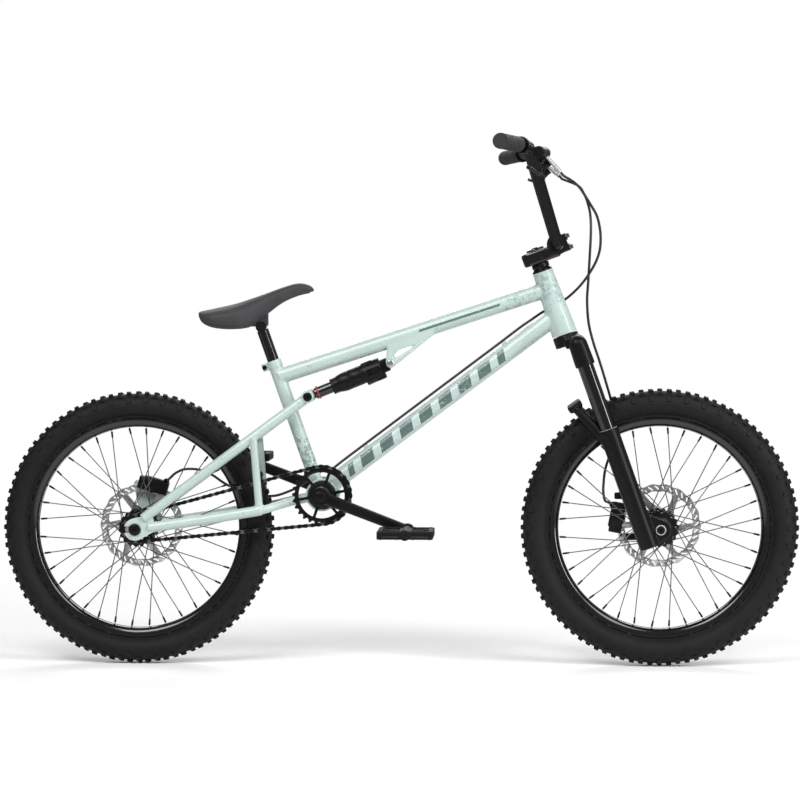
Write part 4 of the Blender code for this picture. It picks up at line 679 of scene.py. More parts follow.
beside = maths(marks, "ADD", maths(marks, "ABSOLUTE", up), ragged)
mask = maths(marks, "GREATER_THAN", noise(marks, where, 120.0, 5.0, 0.7), 0.36)
for operation, measure, limit in (("LESS_THAN", beat, "Fill"), ("LESS_THAN", beside, "Half height"),
                                  ("GREATER_THAN", along, "From"), ("LESS_THAN", along, "To")):
    mask = maths(marks, "MULTIPLY", mask, maths(marks, operation, measure, given[limit]))
feed(marks, marks.nodes.new("NodeGroupOutput"), Mask=mask)

TOP_REAR, TOP_FRONT = seat(-31.8), steer(28.0)
TOP_AXIS = (TOP_FRONT - TOP_REAR).normalized()
DOWN_REAR, DOWN_FRONT = CRANK + vec(0, 0, 6.2), steer(-23.4)
DOWN_AXIS = (DOWN_FRONT - DOWN_REAR).normalized()
paint = PAINT.node_tree


def bar_mask(start, axis, first, last, pitch, half, fill):
    """The mask of a row of bars along a tube, in metres."""
    return node(paint, "Group", _node_tree=marks, Start=start * MM, Axis=axis, Up=upright(axis), From=first,
                To=last, Pitch=pitch, Half_height=half, Fill=fill).outputs["Mask"]


def speckles(point, radius):
    """A mask of speckles inside a sphere."""
    where = node(paint, "TexCoord").outputs["Object"]
    gap = node(paint, "VectorMath", where, point * MM, _operation="DISTANCE").outputs["Value"]
    close = node(paint, "MapRange", gap, radius, radius * 0.3, 0.0, 0.13).outputs["Result"]
    return maths(paint, "GREATER_THAN", maths(paint, "ADD", noise(paint, where, 95.0, 6.0, 0.75), close), 0.63)


paint_shader = paint.nodes["Principled BSDF"]
ground = paint_shader.inputs["Base Color"].links[0].from_socket
layers = [(bar_mask(DOWN_REAR, DOWN_AXIS, 0.062, 0.43, 0.046, 0.0105, 0.62), (0.085, 0.135, 0.125)),
          (bar_mask(TOP_REAR, TOP_AXIS, 0.28, 0.44, 0.2, 0.0022, 1.1), (0.10, 0.15, 0.14)),
          (speckles(steer(30), 0.05), (0.30, 0.39, 0.37)), (speckles(seat(-190), 0.06), (0.22, 0.30, 0.28)),
          (speckles(steer(20, -70), 0.05), (0.30, 0.39, 0.37))]
for mask, shade in layers:
    ground = node(paint, "MixRGB", mask, ground, (*shade, 1)).outputs["Color"]
feed(paint, paint_shader, Base_Color=ground)
print("printed layers", len(layers))

# %% [markdown]
# The frame is welded from round steel tubes. Where two tubes meet, the weld leaves a small bead
# in the corner. We join smooth tubes into one skin, cut the bores, then melt the skin slightly,
# which fills each corner as the weld does.

# %% Main frame
SHOCK_FOOT, SHOCK_HEAD = place(325, 509), place(480, 572)
SEAT_TUBE, TOP_TUBE, DOWN_TUBE = 25.4, 30.6, 33.3
SHELL_SIDES = 64


def on_tube(start, axis, x, lift=0.0):
    """A point beside a tube of the middle plane, from its distance ahead of the rear axle."""
    return start + axis * ((x - ORIGIN_X - start.x) / axis.x) + upright(axis) * lift


def hull_of(*circles, steps=24):
    """The outline round circles given as (centre, diameter)."""
    points = []
    for centre, diameter in circles:
        points += [on_wheel(centre, diameter / 2, 2 * pi * i / steps) for i in range(steps)]
    points.sort(key=lambda p: (p.x, p.z))
    outline = []
    for sweep in (points, points[::-1]):
        line = []
        for point in sweep:
            while len(line) > 1 and (line[-1] - line[-2]).cross(point - line[-1]).y >= -1e-6:
                line.pop()
            line.append(point)
        outline += line[:-1]
    return outline


def bracket(low, high):
    """One plate of the bracket under the top tube."""
    def below(*spots):
        return [on_tube(TOP_REAR, TOP_AXIS, x, lift) for x, lift in spots]

    def round_eye(*spots):
        return [SHOCK_HEAD + vec(x, 0, z) for x, z in spots]

    edge = (below((474, -2)) + round_eye((-9, 3), (-8, -5), (-4, -8.4), (0, -9.3), (4, -8.4), (7, -6))
            + below((556, -15.2), (561, -2)))
    window = below((487, -22)) + round_eye((3, 12), (10, 10)) + below((528, -22), (487, -22))
    return sheet([edge, rounded(window, 3, 3)[1:]], low, high, 0.3)


frame_skin = rod(seat(-268), seat(0), SEAT_TUBE)
united(frame_skin, adds=[
    through(CRANK, 25.8, 52, SHELL_SIDES), through(CRANK, 35.8, 46, SHELL_SIDES),
    rod(TOP_REAR, TOP_FRONT, TOP_TUBE), rod(DOWN_REAR, DOWN_FRONT, DOWN_TUBE),
    rod(steer(-62), steer(62), 48.2, 38.2, SHELL_SIDES), rod(seat(-14), seat(-1), 28.2),
    bracket(-14.3, -10.3), bracket(10.3, 14.3)],
    cuts=[rod(seat(-12), seat(9), 23), rod(steer(-125), steer(125), 33)])
cast(frame_skin, 1.6, 4)
guides = [block(on_tube(DOWN_REAR, DOWN_AXIS, x, 18), (10, 7, 4.4), DOWN_AXIS, edge=0.8) for x in (444, 705)]
ears = united(block(seat(-7, -18), (12, 15, 15), AHEAD, edge=1.5),
              cuts=[block(seat(-9, -20), (20, 2.6, 22), AHEAD), rod(seat(-30), seat(9), 24)])
collar = spun([(28.4, -13), (27.6, -14), (22.8, -14), (22.8, 0), (27.6, 0), (28.4, -1)], SEAT, UP)
cups = [spun([(48.6, -62.5), (48.6, -57), (46, -56), (44, -56), (44, -62.5)], HEAD, UP),
        spun([(38.5, 62.5), (38.5, 57.5), (36.5, 56.5), (35, 56.5), (35, 62.5)], HEAD, UP)]
fit(join(frame_skin, *guides, ears, collar, *cups), "frame_tubes", "frame", PAINT, "main_frame", angle=50)

# %% [markdown]
# The swingarm is the welded rear triangle: two seat stays, two bent chainstays, two braces, a
# bridge and a yoke, flat dropouts for the axle and a tab for the brake. Its rings turn on rubber
# bushes round the bottom bracket. The tubes are joined and melted like the main frame's.

# %% Swingarm
def outward(side, near, far):
    """Two distances from the middle plane on one side of it, the lower value first."""
    return sorted((side * near, side * far))


def swing_tubes(side):
    """The stays, brace and bosses of one side."""
    def bent(radius, diameter, *spots):
        path = [place(x, z, y * side) for x, z, y in spots]
        return tube(rounded(path, radius), diameter)

    return [bent(60, 19, (15, 279.4, 58), (200, 416.4, 52), (322, 506.8, 29)),
            bent(60, 20, (24, 262, 55), (133, 278, 55), (238, 296, 55)),
            bent(20, 16, (225, 293.8, 55), (244, 297, 55), (288, 309, 29.5), (324, 317, 29.5)),
            bent(0, 15, (224, 432, 55), (235, 297, 55)), cross_rod(SHOCK_FOOT, *outward(side, 10.4, 40), 23),
            cross_rod(CRANK, *outward(side, 26.4, 36), 61.8, sides=SHELL_SIDES)]


def dropout(side):
    """One flat plate with an open slot for the axle."""
    outline = hull_of((REAR, 42), (REAR + vec(26, 0, 18), 18), (REAR + vec(30, 0, 3), 18))
    return united(sheet([outline], *outward(side, 55, 61), 0.5),
                  cuts=[through(REAR, 80, 12.6), block(REAR - vec(20, 0, 0), (40, 160, 12.6))])


swing_skin = through(place(240, 446), 46, 16)
united(swing_skin, adds=swing_tubes(-1) + swing_tubes(1) + [through(place(290, 309.5), 30, 14)],
       cuts=[through(CRANK, 60, 53.4, SHELL_SIDES), through(REAR, 80, 24)])
cast(swing_skin, 1.5, 4)
tab = hull_of((place(8, 300), 18), (place(-10, 338), 14), (place(50, 316), 14), (place(10, 275), 30))
brake_tab = united(sheet([tab], 51.05, 56, 0.4), cuts=[cross_rod(REAR, 46, 55, 26)])
fit(join(swing_skin, dropout(-1), dropout(1), brake_tab), "swingarm_tubes", "swingarm", PAINT, "swingarm",
    angle=50)
for name, side in RIGHT_LEFT:
    low, high = outward(side, 26.3, 36)
    bush = spun([(52.9, high), (52.9, low), (47.3, low), (47.3, high)], flat(CRANK))
    fit(edged(bush, 0.3, 1), "bush_" + name, "swingarm", SOFT, "pivot_bush_" + name)


def dome_nut(centre, side, near, far, diameter, hexagon=5.0):
    """A round bolt head whose outer edge is domed, with a six-sided socket."""
    tall = far - near
    profile = [(diameter, 0), (diameter, tall * 0.45), (diameter * 0.9, tall * 0.8), (diameter * 0.72, tall),
               (0.02, tall), (0.02, 0)]
    head = spun(profile, flat(centre, side * near), SIDE * side, 40)
    return united(head, cuts=[cross_rod(centre, *outward(side, far - tall * 0.8, far + 3), hexagon, sides=6)])


def bolt_across(centre, half, diameter, *heads, sides=48):
    """A bolt across the bike with a head at each end: (near, far, diameter, socket)."""
    return join(through(centre, half, diameter, sides), dome_nut(centre, -1, *heads[0]),
                dome_nut(centre, 1, *heads[-1]))


fit(bolt_across(REAR, 61.2, 12, (61.3, 65.3, 23, 6), (61.3, 65.3, 19, 6)), "rear_axle_visual", "swingarm", ALLOY,
    "rear_axle")
fit(bolt_across(SHOCK_FOOT, 40, 8, (40.3, 42.8, 17)), "shock_foot_bolt", "shock_shaft", ALLOY, "shock_bolt_lower")
fit(bolt_across(SHOCK_HEAD, 14, 8, (14.6, 17.1, 13.6, 4)), "shock_head_bolt", "frame", STEEL, "shock_bolt_upper")
fit(bolt_across(seat(-7.2, -19.6), 7.7, 5, (7.8, 11.2, 9.4, 4)), "collar_bolt", "frame", ALLOY, "seat_clamp_bolt")

# %% [markdown]
# A pivotal saddle is a hard plastic base with thin foam and a stretched cover, on a short post
# with a round serrated head. The cover is pulled tight over the foam and stapled under the base,
# so the cushion is crowned, its sides draw in round the base's edge, and a seam runs along them.

# %% Saddle and seatpost
# Each section's place along the saddle, its top, its underside and half its width.
SADDLE = [(118, 669, 660, 34), (128, 671.5, 646, 55), (150, 676, 638, 69), (185, 684, 636, 67),
          (215, 693.5, 641, 51), (245, 704, 664, 33), (275, 715, 686, 25), (305, 723, 699, 20),
          (326, 719, 704, 14), (334, 712, 707, 6)]
BASE_THICK = 4.7
HEAD_PLACE = seat(68)


def saddle_rows(count):
    """The saddle's sections again, on a smooth curve through the CAD's."""
    rows = [vec(x, top, low) for x, top, low, _ in SADDLE]
    halves = [vec(half, 0, 0) for *_, half in SADDLE]
    return [(*row, half.x) for row, half in zip(smooth(rows, count), smooth(halves, count))]


def pad_ring(x, top, low, half, points=40):
    """One cross section: a crown above, sides that turn in round the base's edge, and a flat foot."""
    foot = low + BASE_THICK + 0.3
    middle = foot + 0.42 * (top - foot)
    ring = []
    for index in range(points):
        angle = 2 * pi * index / points
        wave, run = sin(angle), cos(angle)
        if wave > 0:
            z = middle + (top - middle) * wave ** 0.92
        elif abs(run) > 0.72:
            z = middle - (middle - low) * min(1.0, 1.2 * sqrt(-wave))
        else:
            z = foot
        seam = 0.9 * exp(-((wave + 0.28) / 0.07) ** 2) if wave < 0 else 0.0
        ring.append(place(x, z, half * copysign(abs(run) ** 0.78, run) - copysign(seam, run)))
    return ring


def base_ring(x, _, low, half):
    """One cross section of the base, inside the pad's edge."""
    wide = 0.74 * half
    high = low + BASE_THICK
    right = [(0.55, low), (0.8, low + 0.6), (0.97, low + 2.6), (1.0, high - 0.6), (0.97, high)]
    shape = [(-0.55, low)] + right + [(-share, z) for share, z in reversed(right[1:])]
    return [place(x, z, share * wide) for share, z in shape]


def boss_ring(x, rise, high, wide):
    """One cross section of the base's mount, from above the post's head up into the base."""
    low = HEAD_PLACE.z + rise
    return [place(x, low, -wide), place(x, low, wide), place(x, high, wide), place(x, high, -wide)]


def lofted(name, rings):
    """A closed skin over rings of points."""
    count = len(rings[0])
    last = (len(rings) - 1) * count
    faces = [(row + i, row + (i + 1) % count, row + count + (i + 1) % count, row + count + i)
             for row in range(0, last, count) for i in range(count)]
    faces += [tuple(range(count))[::-1], tuple(range(last, last + count))]
    return tidy(meshed(name, [point for ring in rings for point in ring], faces=faces))


pad = lofted("pad", [pad_ring(x, top, low, max(half, 4)) for x, top, low, half in saddle_rows(5)])
modified(pad, "SMOOTH", factor=0.4, iterations=2)
modified(pad, "SUBSURF", levels=1)
fit(pad, "saddle_cushion", "seatpost", COVER, "saddle_pad", angle=80)

base = lofted("base", [base_ring(*row) for row in saddle_rows(4)[4:-4]])
mount = lofted("mount", [boss_ring(212, 0.4, 645, 14), boss_ring(232, 0.4, 656, 14), boss_ring(247, 2, 667, 12)])
united(base, adds=[edged(mount, 1.2, 2)],
       cuts=[through(HEAD_PLACE, 20, 20.6), rod(seat(68), seat(128), 6.6), rod(seat(79.5), seat(128), 13)])
fit(base, "saddle_base", "seatpost", COVER, "saddle_shell", slot="plastic")
bolt = join(rod(seat(61), seat(80), 6), rod(seat(79.8), seat(81.8), 10.8, sides=6))
fit(bolt, "saddle_bolt_visual", "seatpost", STEEL, "saddle_bolt")
post = rod(seat(-120), seat(61), 22.2)
united(post, adds=[rod(seat(59), seat(63.5), 22.2, 17), rod(seat(60), HEAD_PLACE, 16),
                   through(HEAD_PLACE, 13, 20, sides=24)], cuts=[rod(seat(59), seat(88), 6.6)])
fit(post, "seatpost_tube", "seatpost", GLOSS, "seatpost", angle=35)

# %% [markdown]
# The fork's crown is forged, its stanchions are polished tubes and its lowers are one magnesium
# casting with the arch behind the legs. The casting is joined from its legs, arch and lugs and
# melted, which gives the soft inner corners of a casting. Wipers and rings stay crisp.

# %% Fork
LEG_AHEAD, LEG_SIDE = 17, 62
LEG_TUBE = 37.6
ARCH = radians(15.5)


def leg(side, up, ahead=0.0):
    """A point on the line of one leg."""
    return steer(up, LEG_AHEAD + ahead, side * LEG_SIDE)


def leg_ring(side, profile):
    """A ring round one leg, its heights measured from the middle of the head tube."""
    return spun(profile, leg(side, 0), UP)


def round_axle(radius, angle, y=0.0):
    """A point round the front axle, its angle measured back from the steering axis."""
    return FRONT + UP * radius * cos(angle) - AHEAD * radius * sin(angle) + SIDE * y


def lug(side):
    """The foot of one leg round the axle."""
    outline = hull_of((FRONT, 38), (flat(leg(side, -478)), 28), (flat(leg(side, -428)), 20))
    return sheet([outline], *outward(side, 50, 66), 1.2)


crown = rod(steer(-85), steer(-64), 49)
united(crown, adds=[block(steer(-80, 9), (31, 114, 20.5), AHEAD, edge=3)]
       + [rod(leg(side, -130), leg(side, -88), LEG_TUBE, 35) for side in BOTH]
       + [ball(leg(side, -88), 35, 32) for side in BOTH],
       cuts=[rod(leg(side, -135), leg(side, -86), 30.8) for side in BOTH])
cast(crown, 1.3, 10)
crown = join(crown, rod(steer(-68), steer(101.8), 28.6), rod(steer(-66), steer(-58.6), 30.2))
fit(crown, "fork_crown_visual", "steering", SATIN, "fork_crown", angle=50)
for name, side in RIGHT_LEFT:
    fit(rod(leg(side, -375), leg(side, -85.3), 30, sides=64), "stanchion_tube_" + name, "steering", GLOSS,
        "stanchion_" + name)

arch_axis = (round_axle(1, ARCH) - FRONT).normalized()
lowers = rod(leg(-1, -491), leg(-1, -256), LEG_TUBE)
united(lowers, adds=[
    rod(leg(1, -491), leg(1, -256), LEG_TUBE), lug(-1), lug(1),
    block(round_axle(279, ARCH), (28, 100, 13.6), -upright(arch_axis), edge=3),
    block(place(924, 318, 51), (40, 12, 13), edge=2), block(place(936, 240, 51), (44, 12, 13), edge=2)]
    + [rod(leg(side, -277, -8), round_axle(276, ARCH, side * 46), 26, 17) for side in BOTH],
    cuts=[rod(leg(side, -481), leg(side, -215), 31) for side in BOTH] + [through(FRONT, 90, 16)])
cast(lowers, 1.4, 8)
rings = [leg_ring(side, [(37.9, -268), (37.9, -257.6), (37, -256.4), (32, -255.2), (30.9, -255.2), (30.9, -268)])
         for side in BOTH]
fit(join(lowers, *rings), "fork_casting", "fork_lowers", SATIN, "fork_lowers", angle=50)
wipers = [leg_ring(side, [(36, -256.4), (36.4, -255.9), (34.5, -255.1), (31.4, -255), (31, -256.4)])
          for side in BOTH]
fit(join(*wipers), "fork_wipers", "fork_lowers", GREY, slot="soft")
fit(bolt_across(FRONT, 66, 15, (66.3, 68.8, 15, 7)), "front_axle_visual", "fork_lowers", SATIN, "front_axle")
collars = [spun([(19.4, 66.2), (19.4, 68.2), (18.4, 68.6), (15.4, 68.6), (15.4, 66.2)], FRONT, SIDE * side, 48)
           for side in BOTH]
fit(join(*collars), "front_axle_collars", "fork_lowers", GREY)

# %% [markdown]
# A two-piston disc brake caliper is two bolted halves with a slot for the rotor, a round piston
# cap and a banjo fitting for the hose. Each is built upright over its wheel, then turned.

# %% Brake calipers
REAR_TURN, FRONT_TURN = radians(16), radians(-79)
BANJO_AHEAD, BANJO_OUT = 22, 94


def caliper_axes(turn):
    """The directions out of the wheel and along its rim at a caliper."""
    return vec(sin(turn), 0, cos(turn)), vec(cos(turn), 0, -sin(turn))


def banjo_place(wheel, turn, y):
    """Where a hose meets its caliper."""
    out, along = caliper_axes(turn)
    return wheel + out * BANJO_OUT + along * BANJO_AHEAD + SIDE * y


def make_caliper(name, wheel, turn, low, high, rotor_y, body):
    """A caliper between two distances from the middle plane, with its fitting's screw."""
    out, along = caliper_axes(turn)
    middle = (low + high) / 2
    foot = wheel + out * 80
    centre = flat(foot, middle)
    shape = block(centre, (57.4, high - low - 0.4, 24), along, edge=1.5)
    united(shape, adds=[block(centre + out * 2, (40, high - low - 0.2, 25.6), along, edge=3),
                        cross_rod(foot - out * 2, low - 1.8, low + 4, 24)],
           cuts=[block(flat(foot, rotor_y) - out * 8, (80, 4.4, 30), along),
                 block(centre + out * 12, (20, 5, 14), along)])
    bolts = [cross_rod(foot + along * run - out * 4, low - 1.4, low + 1, 8, sides=24) for run in (-22, 22)]
    fitting = banjo_place(wheel, turn, 0)
    ring = cross_rod(fitting, middle - 3.4, middle + 3.4, 11.8, sides=40)
    cap_ring = spun([(23, 0), (23, 1.2), (17, 1.8), (17, 0.8), (0.02, 0.8), (0.02, 0)],
                    flat(foot, low - 0.2) - out * 2, -SIDE, 48)
    fit(join(edged(shape), *bolts, cap_ring, edged(ring, 0.5, 1)), name + "_visual", body, ALLOY, name)
    screw = join(cross_rod(fitting, middle - 6, middle + 6, 7, sides=24),
                 cross_rod(fitting, middle - 6, middle - 3, 8, sides=6))
    fit(screw, name + "_screw", body, GREY)


make_caliper("rear_caliper", REAR, REAR_TURN, 30, 50.7, REAR_ROTOR_Y, "swingarm")
make_caliper("front_caliper", FRONT, FRONT_TURN, 26, 44.7, FRONT_ROTOR_Y, "fork_lowers")

# %% [markdown]
# The chain has 76 half-inch links and runs round a ring with 27 teeth and a cog with 12. One
# outer and one inner link are made at the origin and set along the chain's closed line, because
# all links are alike and only their places differ.

# %% Chain
RING_TEETH, COG_TEETH, LINKS = 27, 12, 76
PITCH, CHAIN_LINE = 12.7, 42
RING_R, COG_R = (PITCH / 2 / sin(pi / teeth) for teeth in (RING_TEETH, COG_TEETH))
SPAN = (CRANK - REAR).length
RISE = atan2(CRANK.z - REAR.z, CRANK.x - REAR.x)
LIFT = asin((RING_R - COG_R) / SPAN)


def chain_place(links):
    """A point of the chain's line, counted in links from the top of the ring."""
    run = SPAN * cos(LIFT) / PITCH
    cog_arc = COG_TEETH * (pi - 2 * LIFT) / (2 * pi)
    upper, lower = pi / 2 + RISE + LIFT, RISE - pi / 2 - LIFT
    links %= LINKS
    if links < run:
        return on_wheel(CRANK, RING_R, upper) + on_wheel(vec(0, 0, 0), PITCH, upper + pi / 2) * links
    links -= run
    if links < cog_arc:
        return on_wheel(REAR, COG_R, upper + links * 2 * pi / COG_TEETH)
    links -= cog_arc
    if links < run:
        return on_wheel(REAR, COG_R, lower) + on_wheel(vec(0, 0, 0), PITCH, lower + pi / 2) * links
    links -= run
    return on_wheel(CRANK, RING_R, lower + links * 2 * pi / RING_TEETH)


def link_outline(high, waist, steps=7):
    """A chain plate seen from its side, from pin to pin along X."""
    points = []
    for sign in (1, -1):
        for step in range(steps):
            angle = pi * step / (steps - 1) - sign * pi / 2
            points.append(vec(sign * PITCH / 2 + high / 2 * 0.94 * cos(angle), 0, high / 2 * sin(angle)))
        points.append(vec(0, 0, sign * waist / 2))
    return points


def chain_link(plate_y, pin_half, pin_diameter, sides):
    """The two plates of one link, with its pins or rollers."""
    plates = [sheet([link_outline(7.5, 5.2)], side * plate_y - 0.5, side * plate_y + 0.5, 0.15) for side in BOTH]
    return join(*plates, *[through(vec(end * PITCH / 2, 0, 0), pin_half, pin_diameter, sides) for end in BOTH])


def set_links(one, first):
    """Copies of a link at every second place of the chain, joined; the link itself goes."""
    links = []
    for number in range(first, LINKS, 2):
        start, end = chain_place(number), chain_place(number + 1)
        along = (end - start).normalized()
        only(one)
        bpy.ops.object.duplicate()
        links.append(bpy.context.object)
        links[-1].matrix_world = (Matrix.Translation(((start + end) / 2 - SIDE * CHAIN_LINE) * MM)
                                  @ turned(along, SIDE, along.cross(SIDE)))
    bpy.data.objects.remove(one, do_unlink=True)
    return settle(join(*links))


fit(set_links(chain_link(3.55, 4.45, 3.4, 12), 0), "chain_outer_links", "swingarm", ALLOY, "chain",
    slot="steel", angle=35)
fit(set_links(chain_link(2.35, 1.9, 7.4, 16), 1), "chain_inner_links", "swingarm", DARK_STEEL, "chain", angle=35)

# %% [markdown]
# The ring and the cog are cut from plate. Their teeth are drawn round the pitch circle with the
# gaps centred on the chain's rollers, so that chain and teeth mesh as the real ones do.

# %% Chainring and cog
def sprocket(centre, teeth, radius, first, windows):
    """A toothed plate in the chain's line, first being the angle of a tooth gap."""
    tooth = ((0.0, -3.9), (0.16, -3.3), (0.30, -0.6), (0.41, 1.35), (0.5, 1.55), (0.59, 1.35), (0.70, -0.6),
             (0.84, -3.3))
    outline = [on_wheel(centre, radius + height, first + 2 * pi / teeth * (number + share))
               for number in range(teeth) for share, height in tooth]
    return sheet([outline, *windows], -CHAIN_LINE - 1.2, 1.2 - CHAIN_LINE, 0.3)


def roller_angle(centre, number):
    """The direction from an axis to one roller of the chain."""
    spot = chain_place(number)
    return atan2(spot.z - centre.z, spot.x - centre.x)


def ring_window(index):
    """An opening between two slim arms, its corners rounded."""
    first, last = radians(11 + 60 * index), radians(71 + 60 * index)
    outer, inner = 2.6 / 43.4, 2.9 / 22.5
    edge = arc(CRANK, 43.4, first + outer, last - outer, 12)
    back = arc(CRANK, 22.5, last - inner, first + inner, 6)
    corners = [rounded(path, 3.5, 4)[1:-1] for path in (edge[-2:] + back[:2], back[-2:] + edge[:2])]
    return edge[1:-1] + corners[0] + back[1:-1] + corners[1]


RIGHT_ARM = on_wheel(vec(0, 0, 0), 1, radians(-21))
BOLT_SPOT = CRANK + RIGHT_ARM * 26
plate = sprocket(CRANK, RING_TEETH, RING_R, roller_angle(CRANK, 73), [ring_window(i) for i in range(6)])
core = spun([(34, -66.6), (34, -44), (47, -43.9), (47, -40.9), (34, -40.5), (34, -36.4), (22.6, -36.4),
             (22.6, -66.6)], flat(CRANK))
boss = cross_rod(BOLT_SPOT, -66.6, -42, 13.8, sides=32)
fit(join(edged(plate, 0.25, 1), edged(core), boss), "chainring_plate", "crank", ALLOY, "chainring")
cog = sprocket(REAR, COG_TEETH, COG_R, roller_angle(REAR, 32), [disc(REAR, 13.1, 48)])
carrier = spun([(35, -49.8), (35, -35.2), (26.2, -35.2), (26.2, -49.8)], flat(REAR), steps=48)
fit(join(cog, edged(carrier, 0.4, 1)), "cog_plate", "cog", STEEL, "rear_cog")

# %% [markdown]
# Tubular bmx cranks are slim arms between a large boss at the spindle and a smaller one at the
# pedal. Arm and bosses are united, cut flat on both faces and melted, because the real ones are
# welded from tubes. A domed bolt joins the ring to the right arm.

# %% Cranks
CRANK_LENGTH = 175
ARM_NEAR, ARM_FAR = 67, 83


def pedal_axis(side):
    """The middle of one pedal's thread."""
    return CRANK - side * RIGHT_ARM * CRANK_LENGTH


def crank_arm(side):
    """One arm from the spindle's boss to the pedal's, flat on both faces."""
    low, high = outward(side, ARM_NEAR, ARM_FAR)
    hub, tip = flat(CRANK, (low + high) / 2), flat(pedal_axis(side), (low + high) / 2)
    shaft = rod(hub, tip, 22.5, 20)
    united(shaft, adds=[cross_rod(hub, low + 0.3, high - 0.3, 33.6, sides=64),
                        cross_rod(tip, low + 1.3, high - 1.3, 26.6, sides=64)],
           cuts=[block(flat(hub.lerp(tip, 0.5), face), (260, 40.6, 90), RIGHT_ARM)
                 for face in (high + 20, low - 20)])
    rim = [(33.8, 81.4), (33.8, 82.4), (32.6, ARM_FAR), (22.6, ARM_FAR), (22.6, 81.4)]
    return join(cast(shaft), spun([(diameter, side * y) for diameter, y in rim], flat(CRANK)))


for name, side in RIGHT_LEFT:
    fit(crank_arm(side), "crank_" + name, "crank", SATIN, "crank_arm_" + name, angle=45)
fit(bolt_across(CRANK, 82.6, 22, (82.4, 84, 19, 8), sides=64), "crank_axle", "crank", ALLOY, "crank_spindle",
    slot="steel")
head = spun([(17, 0), (17, 2), (15.6, 2.9), (9, 2.9), (9, 1.4), (0.02, 1.4), (0.02, 0)],
            flat(BOLT_SPOT, -82.9), -SIDE, 48)
teeth = ring_of(block(flat(BOLT_SPOT, -85.3) + vec(7.6, 0, 0), (2.4, 1.4, 1.2), edge=0.2), 16, flat(BOLT_SPOT))
fit(join(head, teeth, cross_rod(BOLT_SPOT, -83, -40.4, 8, sides=24)), "sprocket_bolt_visual", "crank", ALLOY,
    "sprocket_bolt", slot="steel")

# %% [markdown]
# The pedals are plastic platforms with four windows, a round core and moulded pins, on steel
# spindles that screw into the arms. Plastic is moulded in one piece, so the windows are cut from
# one block, and the pins are set on its faces afterwards.

# %% Pedals
PEDAL_SIDE = 142


def make_pedal(name, side):
    """A platform with windows, dips, slots and pins, and its spindle."""
    hub = flat(pedal_axis(side))
    centre = flat(hub, side * PEDAL_SIDE)
    corners = [(ahead * 27, out) for ahead in BOTH for out in BOTH]
    body = block(centre, (103.6, 97.6, 15.6), edge=2.5)
    united(body, cuts=[block(centre + vec(ahead, out * 23, 0), (32, 36, 40)) for ahead, out in corners]
           + [block(centre + vec(0, 0, up * 12.4), (70, 90, 12), edge=2) for up in BOTH]
           + [block(centre + vec(ahead, out * 45, 0), (31, 14, 5.6)) for ahead, out in corners])
    united(body, adds=[cross_rod(hub, *outward(side, 93, 189), 19.6)])
    pins = []
    for ahead, out in ([(ahead, out) for ahead in (-45, -15, 15, 45) for out in (-44, 44)]
                       + [(end, out) for out in (-23, 0, 23) for end in (-48, 48)]):
        for up in BOTH:
            foot = centre + vec(ahead, out, up * 6.8)
            pins.append(rod(foot, foot + vec(0, 0, up * 1.6), 3.6, 3.0, sides=12))
    ribs = [block(centre + vec(end * 51.6, out, 0), (0.8, 14, 9), edge=0.3)
            for end in BOTH for out in (-30, 0, 30)]
    fit(join(edged(body, 0.8), *pins, *ribs), "pedal_" + name + "_visual", "pedal_" + name, PLASTIC,
        "pedal_body_" + name)
    axle = [cross_rod(hub, *outward(side, near, far), diameter, sides=32)
            for near, far, diameter in ((68, 183, 9), (68, 82, 14), (83.4, 88, 16.6))]
    axle.append(cross_rod(hub, *outward(side, 88, 92.6), 15, 13, sides=6))
    fit(join(*axle), "pedal_axle_" + name, "crank", STEEL, "pedal_spindle_" + name)


for name, side in RIGHT_LEFT:
    make_pedal(name, side)

# %% [markdown]
# The air shock is turned: a slim shaft with its eye, a ringed air can that slides over it, and a
# head with a small reservoir dome and two knobs. A red rubber ring on the shaft shows the travel
# used. Each piece is spun from its profile along the shock's line.

# %% Shock
SHOCK_AXIS = (SHOCK_HEAD - SHOCK_FOOT).normalized()
EYE_BORE, EYE_HALF = 8.6, 10


def shock(along, lift=0.0, y=0.0):
    """A point measured from the lower eye, along the shock and above its line."""
    return SHOCK_FOOT + SHOCK_AXIS * along + upright(SHOCK_AXIS) * lift + SIDE * y


def shock_ring(profile):
    """A profile spun round the shock's line."""
    return spun(profile, SHOCK_FOOT, SHOCK_AXIS, 96)


def eye_ring(centre):
    """The turned eye at one end of the shock."""
    half = EYE_HALF
    return spun([(17.6, half - 0.5), (16.6, half), (EYE_BORE, half), (EYE_BORE, -half), (16.6, -half),
                 (17.6, 0.5 - half)], flat(centre), steps=48)


can = shock_ring([(30, 47.2), (30.4, 48), (30.4, 50), (29.4, 50.6), (29.4, 53.4), (30.4, 54), (30.4, 56),
                  (30, 58), (32, 62), (35, 69), (36, 72.5), (36, 84), (35.4, 84.5), (35.4, 85.5), (36, 86),
                  (36, 108), (35.4, 108.5), (35.4, 110), (36, 110.5), (36, 117), (34, 118), (20, 118),
                  (20, 110), (22.6, 110), (22.6, 60), (26, 60), (26, 47.2)])
head = rod(shock(113, -2), shock(147.6, -2), 43.4, 41, sides=96)
lobes = [block(shock(along, lift), sizes, SHOCK_AXIS, edge=3) for along, lift, sizes in (
    (152, 0, (22, 16, 25.6)), (141, -17, (20, 22, 12)), (124, 12, (22, 20, 16)))]
united(head, adds=lobes + [rod(shock(128, 10), shock(128, 19.4), 14, 12)],
       cuts=[block(shock(132, -2, side * 25), (24, 12, 12), SHOCK_AXIS) for side in BOTH]
       + [through(SHOCK_HEAD, 30, EYE_BORE)])
knobs = [spun([(11.6, 0), (11.6, 2.6), (10.6, 3.2), (0.02, 3.2), (0.02, 0)],
              shock(132, -2, side * 18.4), SIDE * side, 40) for side in BOTH]
